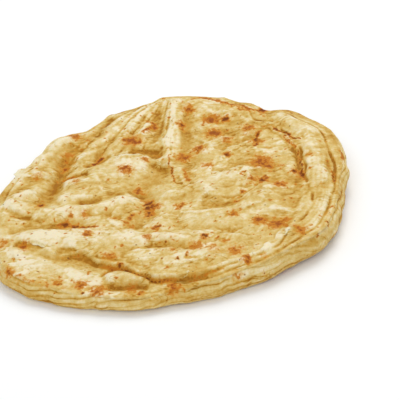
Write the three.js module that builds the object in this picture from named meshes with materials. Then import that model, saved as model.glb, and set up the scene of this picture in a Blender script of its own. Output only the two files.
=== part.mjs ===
// A pan-fried paratha: a rope of oiled, pleated dough wound into a flat coil, pressed out by hand and fried.
// It is one solid. The thin top skin is gathered into folds and hollows, its torn edge runs round as a coil
// over a lower turn of dough, and the rim shows the ends of the layers.
//
// Sizes are millimetres, angles are degrees anticlockwise from +X (east) seen from above, +Z is up.
// The coil is modelled as cross-sections: section(angle) runs from the middle of the underside out to the
// rim, up over the layers and in to the edge of the skin. The skin is a square grid pulled into that edge.
import * as THREE from "three";
import { ImprovedNoise } from "three/addons/math/ImprovedNoise.js";
import { mergeGeometries, mergeVertices } from "three/addons/utils/BufferGeometryUtils.js";

// ---- Driving dimensions ----
const LONG_RADIUS = 103.5; // half the length of the hand-pressed oval
const SHORT_RADIUS = 90.5;
const LONG_AXIS_AT = 38;
const WEST_THICKNESS = 12; // underside to top skin
const EAST_THICKNESS = 17; // the coil is thickest in the east
const EAST_CURL = { at: 20, rise: 4 }; // the eastern rim curls up off the table
const RIM_BELOW_SKIN = 1.8; // the crest of the rim lies this much under the skin
const RIM_ROUND = 5; // width of the rounded rim, crest to outermost point
const RIM_FOLLOWS = 0.4; // where the lower turn steps down, the crest sinks by this share of the step
const RIM_SWING = [-60, 82]; // the rim's rounded wall goes round from and to these angles
const FOOT_INSET = 3.5; // the underside ends this far inside the outermost point
const FLAT_SHARE = 0.7; // the underside is flat out to this share of the radius
const UNDERSIDE_WAVE = 1; // the underside's rim lifts off the table by up to this, in seven waves
const LAYER_BULGE = 0.9; // how far each layer of the rim stands out over the grooves beside it
const BULGE_BASE = 0.6; // the share of that which only makes up for the grooves
const LIP = 0.4; // how far the lip of a turn of dough stands out over its crease
const LIP_ROUND = 0.9; // how far the lip is rounded off
const CREASE_WIDTH = 1.7; // from the lip of a turn of dough to the foot of the crease in front of it

// ---- Mesh density ----
const SKIN_CELLS = 42; // along each side of the skin's grid, an even number
const SECTORS = 4 * SKIN_CELLS; // so each sector of the coil meets one cell of the skin
const TERRACE_RINGS = 3;
const RIM_LAYERS = 3;
const RINGS_PER_LAYER = 3;
const UNDERSIDE_SHARES = [0, 0.4, FLAT_SHARE, 0.88];
const CURVE_STEPS = 12;

// ---- Outline: hand-pressed lobes and notches added to the oval ----
const LOBES = [
  { what: "tail of the coil tucked in", at: 51, reach: -7.5, spread: 7.5 },
  { what: "northern point", at: 88, reach: 6, spread: 11 },
  { what: "northern shoulder", at: 107, reach: 3, spread: 6 },
  { what: "dip behind the shoulder fold", at: 124, reach: -4.5, spread: 7 },
  { what: "western dip", at: 157, reach: -5, spread: 10 },
  { what: "long south-western corner", at: 219, reach: 8.5, spread: 18 },
  { what: "front", at: 252, reach: 2, spread: 14 },
  { what: "full south-east", at: 316, reach: 4.5, spread: 22 },
  { what: "south-eastern corner", at: 331, reach: 5, spread: 13 },
];
const EDGE_WOBBLES = [
  { height: 0.7, waves: 17, shift: 0 },
  { height: 0.5, waves: 29, shift: 40 },
];

// ---- Coil edges: at each angle, the share of the radius where the upper turn of dough ends, how deep the
// crease in front of it goes, how far the next turn lies below it, and how far the crease runs in under it.
const SKIN_EDGE = [
  { at: 0, share: 0.755, crease: 4.2, ledge: -0.7, tuck: 0.8 },
  { at: 14, share: 0.74, crease: 4.5, ledge: -0.8, tuck: 0.9 },
  { at: 32, share: 0.75, crease: 3.5, ledge: -0.4, tuck: 0.7 },
  { at: 49, share: 0.78, crease: 2.5, ledge: 0.6, tuck: 0.5 },
  { at: 72, share: 0.87, crease: 0.3, ledge: 0.2, tuck: 0 },
  { at: 160, share: 0.84, crease: 0.3, ledge: 0.2, tuck: 0 },
  { at: 196, share: 0.82, crease: 0.6, ledge: 0.4, tuck: 0 },
  { at: 208, share: 0.8, crease: 2.6, ledge: 2, tuck: 0.8 },
  { at: 217, share: 0.73, crease: 3, ledge: 2.6, tuck: 1 },
  { at: 229, share: 0.67, crease: 3.2, ledge: 2.8, tuck: 1.2 },
  { at: 242, share: 0.71, crease: 3.8, ledge: 3, tuck: 1.8 },
  { at: 249, share: 0.71, crease: 4.6, ledge: 3.2, tuck: 2.4 },
  { at: 257, share: 0.79, crease: 4.6, ledge: 3.6, tuck: 2.6 },
  { at: 268, share: 0.85, crease: 4.8, ledge: 3.8, tuck: 2.8 },
  { at: 276, share: 0.865, crease: 5, ledge: 3.6, tuck: 3.4 },
  { at: 286, share: 0.85, crease: 3, ledge: 2.2, tuck: 1.2 },
  { at: 300, share: 0.845, crease: 2.2, ledge: 1.8, tuck: 0.6 },
  { at: 316, share: 0.84, crease: 2.6, ledge: 1.4, tuck: 0.8 },
  { at: 332, share: 0.83, crease: 3, ledge: 0.8, tuck: 0.8 },
  { at: 344, share: 0.8, crease: 3.4, ledge: 0, tuck: 0.8 },
];
const TURN_EDGE = [
  { at: 0, share: 0.905, crease: 3.2, ledge: 1, tuck: 0.9 },
  { at: 16, share: 0.89, crease: 3, ledge: 0.8, tuck: 0.9 },
  { at: 30, share: 0.88, crease: 1.4, ledge: 0.4, tuck: 0.4 },
  { at: 48, share: 0.89, crease: 0.3, ledge: 0.2, tuck: 0 },
  { at: 100, share: 0.92, crease: 0.8, ledge: 0.5, tuck: 0.2 },
  { at: 140, share: 0.91, crease: 0.3, ledge: 0.3, tuck: 0 },
  { at: 166, share: 0.91, crease: 2, ledge: 1, tuck: 0.5 },
  { at: 186, share: 0.915, crease: 1.8, ledge: 1, tuck: 0.5 },
  { at: 204, share: 0.9, crease: 0.8, ledge: 0.5, tuck: 0.2 },
  { at: 222, share: 0.87, crease: 1.6, ledge: 1, tuck: 0.4 },
  { at: 240, share: 0.85, crease: 1.4, ledge: 1, tuck: 0.4 },
  { at: 246, share: 0.85, crease: 3.4, ledge: 2.6, tuck: 5 },
  { at: 258, share: 0.865, crease: 3.4, ledge: 2.6, tuck: 5 },
  { at: 265, share: 0.9, crease: 0.8, ledge: 0.5, tuck: 0.2 },
  { at: 300, share: 0.915, crease: 0.8, ledge: 0.4, tuck: 0.2 },
  { at: 322, share: 0.91, crease: 1.4, ledge: 0.6, tuck: 0.4 },
  { at: 338, share: 0.9, crease: 2.4, ledge: 1, tuck: 0.8 },
];

// ---- A pocket of steam that lifted the lower turn into an arch, open towards the south ----
const POCKET = { at: 252, spread: 9, rise: 4, highestAt: 0.6 };

// ---- Folds and hollows of the skin, along curves through points in plan ----
// left and right are their half widths on either side, going along the curve: a small one makes a steep side.
const FOLDS = [
  { what: "spine", rise: 3.6, left: 4.5, right: 4, along: [[8, 93], [2, 67], [0, 41], [2, 14]] },
  { what: "hollow west of the spine", rise: -3, left: 4, right: 4, along: [[-3, 88], [-5, 61], [-7, 46]] },
  {
    what: "hollow east of the spine", rise: -2.6, left: 7, right: 4,
    along: [[13, 85], [11, 59], [11, 33], [12, 6]],
  },
  {
    what: "gap behind the torn pillow", rise: -3.2, left: 3, right: 5,
    along: [[-23, 41], [-12, 39], [-3, 30]],
  },
  { what: "torn pillow", rise: 2.6, left: 8, right: 8, along: [[-49, 11], [-35, 23], [-21, 26], [-11, 24]] },
  { what: "heart hollow", rise: -4.5, left: 7, right: 8, along: [[0, 24], [-7, 12], [-13, 3], [-21, -5]] },
  {
    what: "its southern arm", rise: -3.8, left: 4.5, right: 8,
    along: [[-11, 3], [-12, -12], [-14, -27], [-24, -37]],
  },
  {
    what: "western hollow", rise: -4, left: 6, right: 7,
    along: [[-42, 63], [-53, 46], [-61, 30], [-63, 11], [-71, -12]],
  },
  {
    what: "floor of the western hollow", rise: -3, left: 5, right: 5,
    along: [[-49, 53], [-55, 42], [-62, 21], [-64, 6]],
  },
  { what: "shoulder fold", rise: 4, left: 9, right: 7, along: [[-89, 19], [-77, 38], [-69, 46], [-51, 60]] },
  {
    what: "ridge beside the shoulder", rise: 2.2, left: 4, right: 4,
    along: [[-39, 76], [-44, 61], [-49, 51]],
  },
  {
    what: "valley beside the shoulder", rise: -2.6, left: 4, right: 4,
    along: [[-30, 82], [-36, 68], [-42, 57]],
  },
  {
    what: "north-western fold", rise: 2.6, left: 4, right: 4,
    along: [[-24, 82], [-35, 64], [-44, 49], [-51, 36]],
  },
  { what: "valley behind it", rise: -2.2, left: 4, right: 4, along: [[-20, 71], [-31, 56], [-37, 42]] },
  { what: "fold inside it", rise: 1.8, left: 5, right: 4, along: [[-10, 84], [-21, 66], [-29, 53]] },
  { what: "western pillow", rise: 2.2, left: 9, right: 9, along: [[-61, -7], [-49, 1], [-35, 8]] },
  { what: "far western pillow", rise: 2.2, left: 7, right: 7, along: [[-87, -12], [-82, -3], [-75, 12]] },
  {
    what: "groove across the middle", rise: -2.2, left: 5, right: 3,
    along: [[-51, -10], [-37, -6], [-24, 1]],
  },
  {
    what: "ridge below the groove", rise: 1.6, left: 4, right: 5,
    along: [[-65, -15], [-43, -13], [-20, -8]],
  },
  {
    what: "hollow to the western crease", rise: -3.8, left: 7, right: 4,
    along: [[-92, -32], [-76, -27], [-60, -27], [-42, -34]],
  },
  {
    what: "pale front fold", rise: 2.6, left: 5, right: 9,
    along: [[-84, -38], [-61, -39], [-36, -43], [-8, -47], [20, -57]],
  },
  { what: "front hollow", rise: -2.4, left: 6, right: 6, along: [[-62, -52], [-46, -57], [-34, -63]] },
  { what: "flank of the front fold", rise: 2, left: 9, right: 9, along: [[-24, -62], [0, -71], [30, -69]] },
  { what: "eastern swale", rise: -2.8, left: 6, right: 6, along: [[66, 2], [68, -15], [64, -35], [54, -51]] },
  { what: "eastern pillow", rise: 2, left: 10, right: 10, along: [[14, -6], [30, 0], [48, 2]] },
  { what: "north-eastern hollow", rise: -1.8, left: 6, right: 6, along: [[19, 73], [33, 62], [45, 54]] },
  {
    what: "soft hollow in the middle", rise: -1.6, left: 6, right: 6,
    along: [[14, -18], [28, -22], [42, -18]],
  },
  { what: "eastern ring", rise: 2, left: 5, right: 5, along: [[63, 57], [78, 34], [82, 5], [81, -17]] },
  { what: "tail of the coil", rise: 1.8, left: 6, right: 5, along: [[54, 73], [73, 54], [86, 34]] },
];
const FOLD_END = 0.16; // share of a fold's length over which it fades in and out at its ends

// ---- Small billows of the thin skin, drawn out from south-west to north-east, with creases between ----
const GRAIN_AT = 24;
const BILLOWS = [
  { height: 1.6, length: 32, width: 15, layer: 0.3 },
  { height: 0.7, length: 19, width: 11, layer: 7.7 },
];
const GRAIN_SWAY = { reach: 7, wave: 21 }; // the grain isn't straight
const OUTER_RELIEF = 0.45; // folds are this much as deep on a lower turn of dough

// ---- Small helpers ----
const { smoothstep, degToRad, lerp } = THREE.MathUtils;
const turnBetween = (a, b) => Math.abs(((((a - b) % 360) + 540) % 360) - 180);
const bell = (distance, halfWidth) => Math.exp(-((distance / halfWidth) ** 2));

// Eases a named value of a coil edge between the two stated angles on either side, right round the circle.
function along(edge, angle, value) {
  const after = edge.findIndex((key) => key.at > angle);
  const next = edge[after < 0 ? 0 : after];
  const last = edge[after < 0 ? edge.length - 1 : after - 1];
  const span = (next.at - last.at + 360) % 360;
  return lerp(last[value], next[value], smoothstep((angle - last.at) / span, 0, 1));
}

// ---- Plan outline ----
function rimRadius(angle) {
  const turned = degToRad(angle - LONG_AXIS_AT);
  let radius =
    (LONG_RADIUS * SHORT_RADIUS) /
    Math.hypot(SHORT_RADIUS * Math.cos(turned), LONG_RADIUS * Math.sin(turned));
  for (const lobe of LOBES) radius += lobe.reach * bell(turnBetween(angle, lobe.at), lobe.spread);
  for (const { height, waves, shift } of EDGE_WOBBLES) {
    radius += height * Math.sin(degToRad(waves * angle + shift));
  }
  return radius;
}

// ---- Height of the top, without coil edges ----
const skinHeight = (x) => lerp(WEST_THICKNESS, EAST_THICKNESS, smoothstep(x, -26, 74));

const foldCurves = FOLDS.map((fold) => {
  const curve = new THREE.CatmullRomCurve3(fold.along.map(([x, y]) => new THREE.Vector3(x, y, 0)));
  return { ...fold, points: curve.getPoints(CURVE_STEPS) };
});

const segment = new THREE.Line3();
const nearest = new THREE.Vector3();
const heading = new THREE.Vector3();

// Height that the folds add at a point: a rounded ridge or trough along each curve, fading out at its ends.
function folds(x, y) {
  const here = new THREE.Vector3(x, y, 0);
  let height = 0;
  for (const { points, rise, left, right } of foldCurves) {
    let closest = Infinity;
    let reached = 0;
    let halfWidth = left;
    for (let i = 1; i < points.length; i++) {
      segment.set(points[i - 1], points[i]).closestPointToPoint(here, true, nearest);
      const distance = nearest.distanceTo(here);
      if (distance < closest) {
        closest = distance;
        reached = (i - 1 + segment.closestPointToPointParameter(here, true)) / CURVE_STEPS;
        halfWidth = segment.delta(heading).cross(nearest.subVectors(here, nearest)).z > 0 ? left : right;
      }
    }
    const ends = smoothstep(reached, -0.02, FOLD_END) * (1 - smoothstep(reached, 1 - FOLD_END, 1.02));
    height += rise * ends * bell(closest, halfWidth);
  }
  return height;
}

// Height that the billows add at a point, lowest in the creases between them.
const noise = new ImprovedNoise();
const grainCos = Math.cos(degToRad(GRAIN_AT));
const grainSin = Math.sin(degToRad(GRAIN_AT));
function billows(x, y) {
  const along = x * grainCos + y * grainSin;
  const across = y * grainCos - x * grainSin + GRAIN_SWAY.reach * Math.sin(along / GRAIN_SWAY.wave);
  let height = 0;
  for (const billow of BILLOWS) {
    const sample = noise.noise(along / billow.length, across / billow.width, billow.layer);
    height += billow.height * (2 * Math.abs(sample) - 0.5);
  }
  return height;
}

const relief = (x, y) => folds(x, y) + billows(x, y);

// ---- Underside: flat in the middle, curled up at the eastern rim ----
function undersideHeight(angle, share) {
  const outer = smoothstep(share, FLAT_SHARE, 1);
  const curl = EAST_CURL.rise * Math.max(0, Math.cos(degToRad(angle - EAST_CURL.at))) ** 1.5;
  const waves = (UNDERSIDE_WAVE / 2) * (1 + Math.sin(degToRad(7 * angle + 60)));
  return outer * (curl + waves);
}

// ---- Edge of a turn of dough: the foot of the crease under it, its lip, and the start of its top ----
function turnEdge(radius, height, crease, tuck) {
  return [
    [radius - tuck, height(radius) - crease],
    [radius + LIP, height(radius) - Math.min(LIP_ROUND, crease / 3)],
    [radius - LIP_ROUND, height(radius - LIP_ROUND)],
  ];
}

// ---- The skin's top and edge ----
const skinTop = (x, y) => skinHeight(x) + relief(x, y);
const skinRadius = (angle) => rimRadius(angle) * along(SKIN_EDGE, angle, "share");

// ---- One cross-section of the coil, as [radius, height] from the middle of the underside to the skin ----
function section(angle) {
  const rim = rimRadius(angle);
  const cos = Math.cos(degToRad(angle));
  const sin = Math.sin(degToRad(angle));
  const skin = skinRadius(angle);
  const turn = rim * along(TURN_EDGE, angle, "share");
  const crestRadius = rim - RIM_ROUND;
  const ledge = along(SKIN_EDGE, angle, "ledge");
  const turnLedge = along(TURN_EDGE, angle, "ledge");
  const outerRelief = lerp(1, OUTER_RELIEF, smoothstep(ledge, 0.2, 2));
  const top = (radius) => skinTop(radius * cos, radius * sin);
  const folded = (radius) => outerRelief * relief(radius * cos, radius * sin);
  const lower = (radius, drop) => skinHeight(radius * cos) + folded(radius) - drop;
  const pocketTop = lerp(skin, turn, POCKET.highestAt);
  const pocketRise = POCKET.rise * bell(turnBetween(angle, POCKET.at), POCKET.spread);
  const turnTop = (radius) => lower(radius, ledge) + pocketRise * smoothstep(radius, skin, pocketTop);
  const ring = [];

  // Underside and foot of the rim.
  for (const share of UNDERSIDE_SHARES) ring.push([rim * share, undersideHeight(angle, share)]);
  const foot = undersideHeight(angle, 1);
  ring.push([rim - FOOT_INSET, foot]);

  // Rim: a rounded wall of layers, each standing out a little.
  const crest = lower(crestRadius, RIM_BELOW_SKIN + RIM_FOLLOWS * Math.max(0, ledge));
  const wallRings = RIM_LAYERS * RINGS_PER_LAYER;
  for (let i = 1; i < wallRings; i++) {
    const up = i / wallRings;
    const round = RIM_ROUND * Math.cos(degToRad(lerp(...RIM_SWING, up)));
    const bulge = LAYER_BULGE * (Math.abs(Math.sin(Math.PI * RIM_LAYERS * up)) - BULGE_BASE);
    ring.push([crestRadius + round + bulge, lerp(foot, crest, up)]);
  }
  ring.push([crestRadius, crest]);

  // Outer turn of dough, in to the crease under the edge of the next turn.
  const turnFoot = turn + CREASE_WIDTH;
  const turnFootHeight = lower(turnFoot, Math.max(ledge, 0) + turnLedge);
  for (let i = 1; i <= TERRACE_RINGS; i++) {
    const inward = i / TERRACE_RINGS;
    ring.push([lerp(crestRadius, turnFoot, inward), lerp(crest, turnFootHeight, smoothstep(inward, 0, 1))]);
  }

  // Next turn, in to the crease under the edge of the skin.
  ring.push(...turnEdge(turn, turnTop, along(TURN_EDGE, angle, "crease"), along(TURN_EDGE, angle, "tuck")));
  for (let i = 1; i <= TERRACE_RINGS; i++) {
    const radius = lerp(turn - LIP_ROUND, skin + CREASE_WIDTH, i / TERRACE_RINGS);
    ring.push([radius, turnTop(radius)]);
  }
  ring.push(...turnEdge(skin, top, along(SKIN_EDGE, angle, "crease"), along(SKIN_EDGE, angle, "tuck")));
  return ring;
}

// ---- The coil: a lathed blank of the right number of rings, each sector set to its own cross-section ----
function coilGeometry() {
  const blank = section(0).map(([radius, height]) => new THREE.Vector2(radius, height));
  const geometry = new THREE.LatheGeometry(blank, SECTORS);
  const position = geometry.getAttribute("position");
  for (let sector = 0; sector <= SECTORS; sector++) {
    const angle = ((sector % SECTORS) * 360) / SECTORS;
    const cos = Math.cos(degToRad(angle));
    const sin = Math.sin(degToRad(angle));
    section(angle).forEach(([radius, height], i) => {
      position.setXYZ(sector * blank.length + i, radius * cos, radius * sin, height);
    });
  }
  return geometry;
}

// ---- The skin: a square grid whose square rings become rings of the disc inside the skin's edge ----
function skinGeometry() {
  const geometry = new THREE.PlaneGeometry(2, 2, SKIN_CELLS, SKIN_CELLS);
  const position = geometry.getAttribute("position");
  for (let i = 0; i < position.count; i++) {
    const east = 2 * (i % (SKIN_CELLS + 1)) - SKIN_CELLS;
    const north = SKIN_CELLS - 2 * Math.floor(i / (SKIN_CELLS + 1));
    const ring = Math.max(Math.abs(east), Math.abs(north));
    let angle = 0;
    if (ring > 0 && Math.abs(east) === ring) angle = (45 * north) / east + (east > 0 ? 0 : 180);
    else if (ring > 0) angle = (north > 0 ? 90 : 270) - (45 * east) / north;
    angle = (angle + 360) % 360;
    const radius = (skinRadius(angle) - LIP_ROUND) * (ring / SKIN_CELLS);
    const x = radius * Math.cos(degToRad(angle));
    const y = radius * Math.sin(degToRad(angle));
    position.setXYZ(i, x, y, skinTop(x, y));
  }
  return geometry;
}

// ---- The bread: coil and skin joined along the skin's edge ----
function breadGeometry() {
  const parts = [coilGeometry(), skinGeometry()];
  for (const part of parts) {
    part.deleteAttribute("normal");
    part.deleteAttribute("uv");
  }
  const geometry = mergeVertices(mergeGeometries(parts));
  geometry.computeVertexNormals();
  geometry.computeBoundingBox();
  return geometry;
}

const crust = new THREE.MeshStandardMaterial({ color: 0xe6cf93, roughness: 0.62, metalness: 0 });

const paratha = new THREE.Mesh(breadGeometry(), crust);
paratha.name = "paratha";
// The frame's origin is under the middle of the bread, on the table.
const middle = paratha.geometry.boundingBox.getCenter(new THREE.Vector3());
paratha.position.set(-middle.x, -middle.y, 0);

const bread = new THREE.Group();
bread.add(paratha);

export default bread;
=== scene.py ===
# %% [markdown]
# # A paratha: flaky, pan-fried layered bread
# The real thing is a rope of oiled, pleated dough, wound into a flat coil, pressed out by hand and fried.
# Its top is one thin skin gathered into folds, its rim shows the ends of dozens of paper-thin layers, and
# toasted spots sit where the dough touched the pan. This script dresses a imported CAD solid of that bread:
# the solid keeps the size and the place, and the pieces made here stand for it in the picture.

# %% Load the frame
import math

import bmesh
import bpy
import numpy as np
from mathutils import Matrix, Vector


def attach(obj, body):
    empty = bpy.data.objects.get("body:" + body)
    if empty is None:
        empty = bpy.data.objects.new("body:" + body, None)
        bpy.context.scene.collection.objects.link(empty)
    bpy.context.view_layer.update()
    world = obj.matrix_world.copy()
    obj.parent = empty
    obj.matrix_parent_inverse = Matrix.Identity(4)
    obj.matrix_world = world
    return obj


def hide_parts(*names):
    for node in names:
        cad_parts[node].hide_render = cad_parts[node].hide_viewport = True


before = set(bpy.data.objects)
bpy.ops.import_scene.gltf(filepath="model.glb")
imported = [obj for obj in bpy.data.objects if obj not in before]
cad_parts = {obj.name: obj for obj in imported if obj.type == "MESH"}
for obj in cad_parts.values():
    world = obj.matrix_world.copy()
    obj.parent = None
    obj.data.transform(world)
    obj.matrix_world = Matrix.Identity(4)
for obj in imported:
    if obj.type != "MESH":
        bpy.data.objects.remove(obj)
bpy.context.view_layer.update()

MM = 0.001  # the bread is described in millimetres, Blender works in metres

# %% [markdown]
# ## Small helpers
# Everything below is worked out for whole arrays of points at once with numpy, because a surface this
# crumpled needs hundreds of thousands of points. Three shapes do most of the work: a smooth step, a bell
# and a repeatable random field. The field is gradient noise: every grid corner gets a random direction and
# the space between is blended smoothly. A fixed seed gives the same bread on every run.


# %% Steps, bells and noise
def lerp(a, b, share):
    return a + (b - a) * share


def smoothstep(x, low, high):
    t = np.clip((x - low) / (high - low), 0, 1)
    return t * t * (3 - 2 * t)


def bell(distance, half_width):
    return np.exp(-((distance / half_width) ** 2))


NOISE_CELLS = 128


def noise(x, y, seed):
    """A smooth random field of about -1 to 1 whose lumps are one unit wide."""
    turn = np.random.default_rng(seed).uniform(0, 2 * np.pi, (NOISE_CELLS, NOISE_CELLS))
    column, row = np.floor(x).astype(int), np.floor(y).astype(int)
    u, v = x - column, y - row

    def corner(i, j):
        angle = turn[(column + i) % NOISE_CELLS, (row + j) % NOISE_CELLS]
        return np.cos(angle) * (u - i) + np.sin(angle) * (v - j)

    ease_u, ease_v = (t**3 * (t * (t * 6 - 15) + 10) for t in (u, v))
    low = lerp(corner(0, 0), corner(1, 0), ease_u)
    high = lerp(corner(0, 1), corner(1, 1), ease_u)
    return 1.5 * lerp(low, high, ease_v)


def rough_noise(x, y, seed, octaves=3):
    """Noise with finer and weaker noise laid over it."""
    return sum(noise(x * 2**i, y * 2**i, seed + i) / 2**i for i in range(octaves))


print("noise runs from", *np.round(np.percentile(noise(*np.mgrid[0:9:90j, 0:9:90j], 1), [1, 99]), 2))

# %% [markdown]
# ## The outline
# A hand-pressed bread is an oval with lobes and notches. Each lobe is a bell added to the oval's radius, so
# the outline stays one smooth loop, and two fast ripples stand for the uneven ends of the layers.

# %% Outline
LONG_RADIUS, SHORT_RADIUS, LONG_AXIS_AT = 103.4, 90.4, 38
LOBES = [  # angle in degrees, how far it reaches out, how far it spreads
    (49, -9, 7),  # the tail of the coil is tucked in
    (8, 1.5, 22),
    (23, 2.4, 9),
    (43.5, 3, 4.5),
    (63.5, -3.6, 4.5),
    (80, 1, 6),
    (88, 6, 11),  # the point where the skin is gathered
    (91.5, 2.2, 2.2),
    (107, 3, 6),
    (111.5, 1.4, 2),
    (124, -4.5, 7),
    (130, 1.6, 2.5),
    (148, -1.8, 4),
    (157, -5, 10),
    (168, 0.8, 4),
    (182, 1.0, 12),
    (219, 8.5, 18),  # long corner
    (252, 2, 14),
    (316, 4.5, 22),
    (331, 5, 13),  # full corner
]
WOBBLES = [(0.35, 17, 0), (0.2, 29, 40)]  # height, waves round the rim, shift


def turned_from(angle, at):
    """Degrees from one direction to another, from -180 to 180."""
    return (angle - at + 180) % 360 - 180


def rim_radius(angle):
    turned = np.radians(angle - LONG_AXIS_AT)
    across = np.hypot(SHORT_RADIUS * np.cos(turned), LONG_RADIUS * np.sin(turned))
    radius = LONG_RADIUS * SHORT_RADIUS / across
    for at, reach, spread in LOBES:
        radius += reach * bell(turned_from(angle, at), spread)
    for height, waves, shift in WOBBLES:
        radius += height * np.sin(np.radians(waves * angle + shift))
    return radius


angles = np.arange(0, 360, 0.5)
outline = rim_radius(angles) * np.array([np.cos(np.radians(angles)), np.sin(np.radians(angles))])
MIDDLE = (outline.max(axis=1) + outline.min(axis=1)) / 2  # the frame's origin, seen from the coil's middle
print("outline in mm:", np.round(np.ptp(outline, axis=1), 1), "its middle:", np.round(MIDDLE, 2))

# %% [markdown]
# ## The turns of the coil
# Seen from above, the gathered skin lies as a flap on a lower turn of dough, and that turn lies on the
# outermost one. Each edge is given at a few angles: how far out it runs, how deep the crease in front of it
# is, and how far the next turn lies below. Between the angles the values are eased, all the way round.

# %% Coil edges
FLAP_EDGE = np.array([  # angle, share of the rim's radius, crease, ledge
    (1, 0.74, 1.7, -0.65),
    (15, 0.731, 2.0, -0.8),
    (30, 0.73, 1.6, -0.4),
    (40, 0.77, 0.9, 0.2),
    (66, 0.9, 0.0, 0.0),
    (192, 0.9, 0.0, 0.0),
    (207, 0.84, 0.0, 0.8),
    (219, 0.74, 0.2, 1.8),
    (230, 0.665, 0.4, 2.4),
    (239, 0.71, 0.9, 2.8),
    (249, 0.73, 1.6, 3.0),
    (258, 0.79, 1.8, 3.2),
    (266, 0.856, 2.0, 3.2),
    (273, 0.88, 2.0, 3.2),
    (282, 0.892, 1.2, 2.4),
    (297, 0.898, 0.6, 1.4),
    (309, 0.9, 0.8, 1.2),
    (316, 0.855, 1.0, 1.1),
    (325, 0.82, 1.0, 0.9),
    (334, 0.822, 1.1, 0.7),
    (344, 0.8, 1.3, 0.2),
    (352, 0.765, 1.5, -0.3),
])
TURN_EDGE = np.array([
    (6, 0.896, 1.4, 0.8),
    (17, 0.881, 1.4, 0.6),
    (30, 0.875, 0.7, 0.4),
    (48, 0.9, 0.3, 0.2),
    (100, 0.925, 0.3, 0.2),
    (140, 0.92, 0.2, 0.2),
    (166, 0.9, 0.5, 0.8),
    (186, 0.91, 0.3, 0.6),
    (204, 0.89, 0.2, 0.4),
    (222, 0.88, 0.2, 0.5),
    (240, 0.88, 0.3, 0.6),
    (265, 0.915, 0.4, 0.5),
    (300, 0.93, 0.3, 0.3),
    (322, 0.915, 0.6, 0.5),
    (338, 0.91, 1.0, 0.8),
    (353, 0.922, 1.2, 0.8),
])
SHARE, CREASE, LEDGE = 1, 2, 3  # columns of the two tables
OUTER_SHARE = 0.95  # how far out the closed skin runs
RIM_ABOUT = 100  # mm, the rim's radius as the noise that runs round it takes it


def eased(edge, column, angle):
    """One value of a coil edge at any angle, eased between the rows on either side."""
    turn = np.array([360.0, 0, 0, 0])
    rows = np.vstack([edge[-1] - turn, edge, edge[0] + turn])
    after = np.clip(np.searchsorted(rows[:, 0], angle % 360, side="right"), 1, len(rows) - 1)
    low, high = rows[after - 1], rows[after]
    return lerp(low[..., column], high[..., column], smoothstep(angle % 360, low[..., 0], high[..., 0]))


def rim_noise(angle, size, seed, across=0):
    """Noise that runs round the rim, with lumps of that size in mm. across, in lumps, shifts it gently."""
    turn = np.radians(angle)
    return noise(RIM_ABOUT * np.cos(turn) / size + across, RIM_ABOUT * np.sin(turn) / size, seed)


def flap_radius(angle):
    ragged = 1.1 * rim_noise(angle, 11, 41) + 0.3 * rim_noise(angle, 4, 42)
    return rim_radius(angle) * eased(FLAP_EDGE, SHARE, angle) + ragged


def turn_radius(angle):
    ragged = 1.0 * rim_noise(angle, 24, 43) + 0.3 * rim_noise(angle, 8, 50)
    return rim_radius(angle) * eased(TURN_EDGE, SHARE, angle) + ragged


def skin_radius(angle):
    ragged = 0.8 * rim_noise(angle, 22, 44) + 0.35 * rim_noise(angle, 6, 45)
    return rim_radius(angle) * OUTER_SHARE + ragged


print("flap edge lies", np.round(flap_radius(angles), 0)[::90], "mm out")
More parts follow.
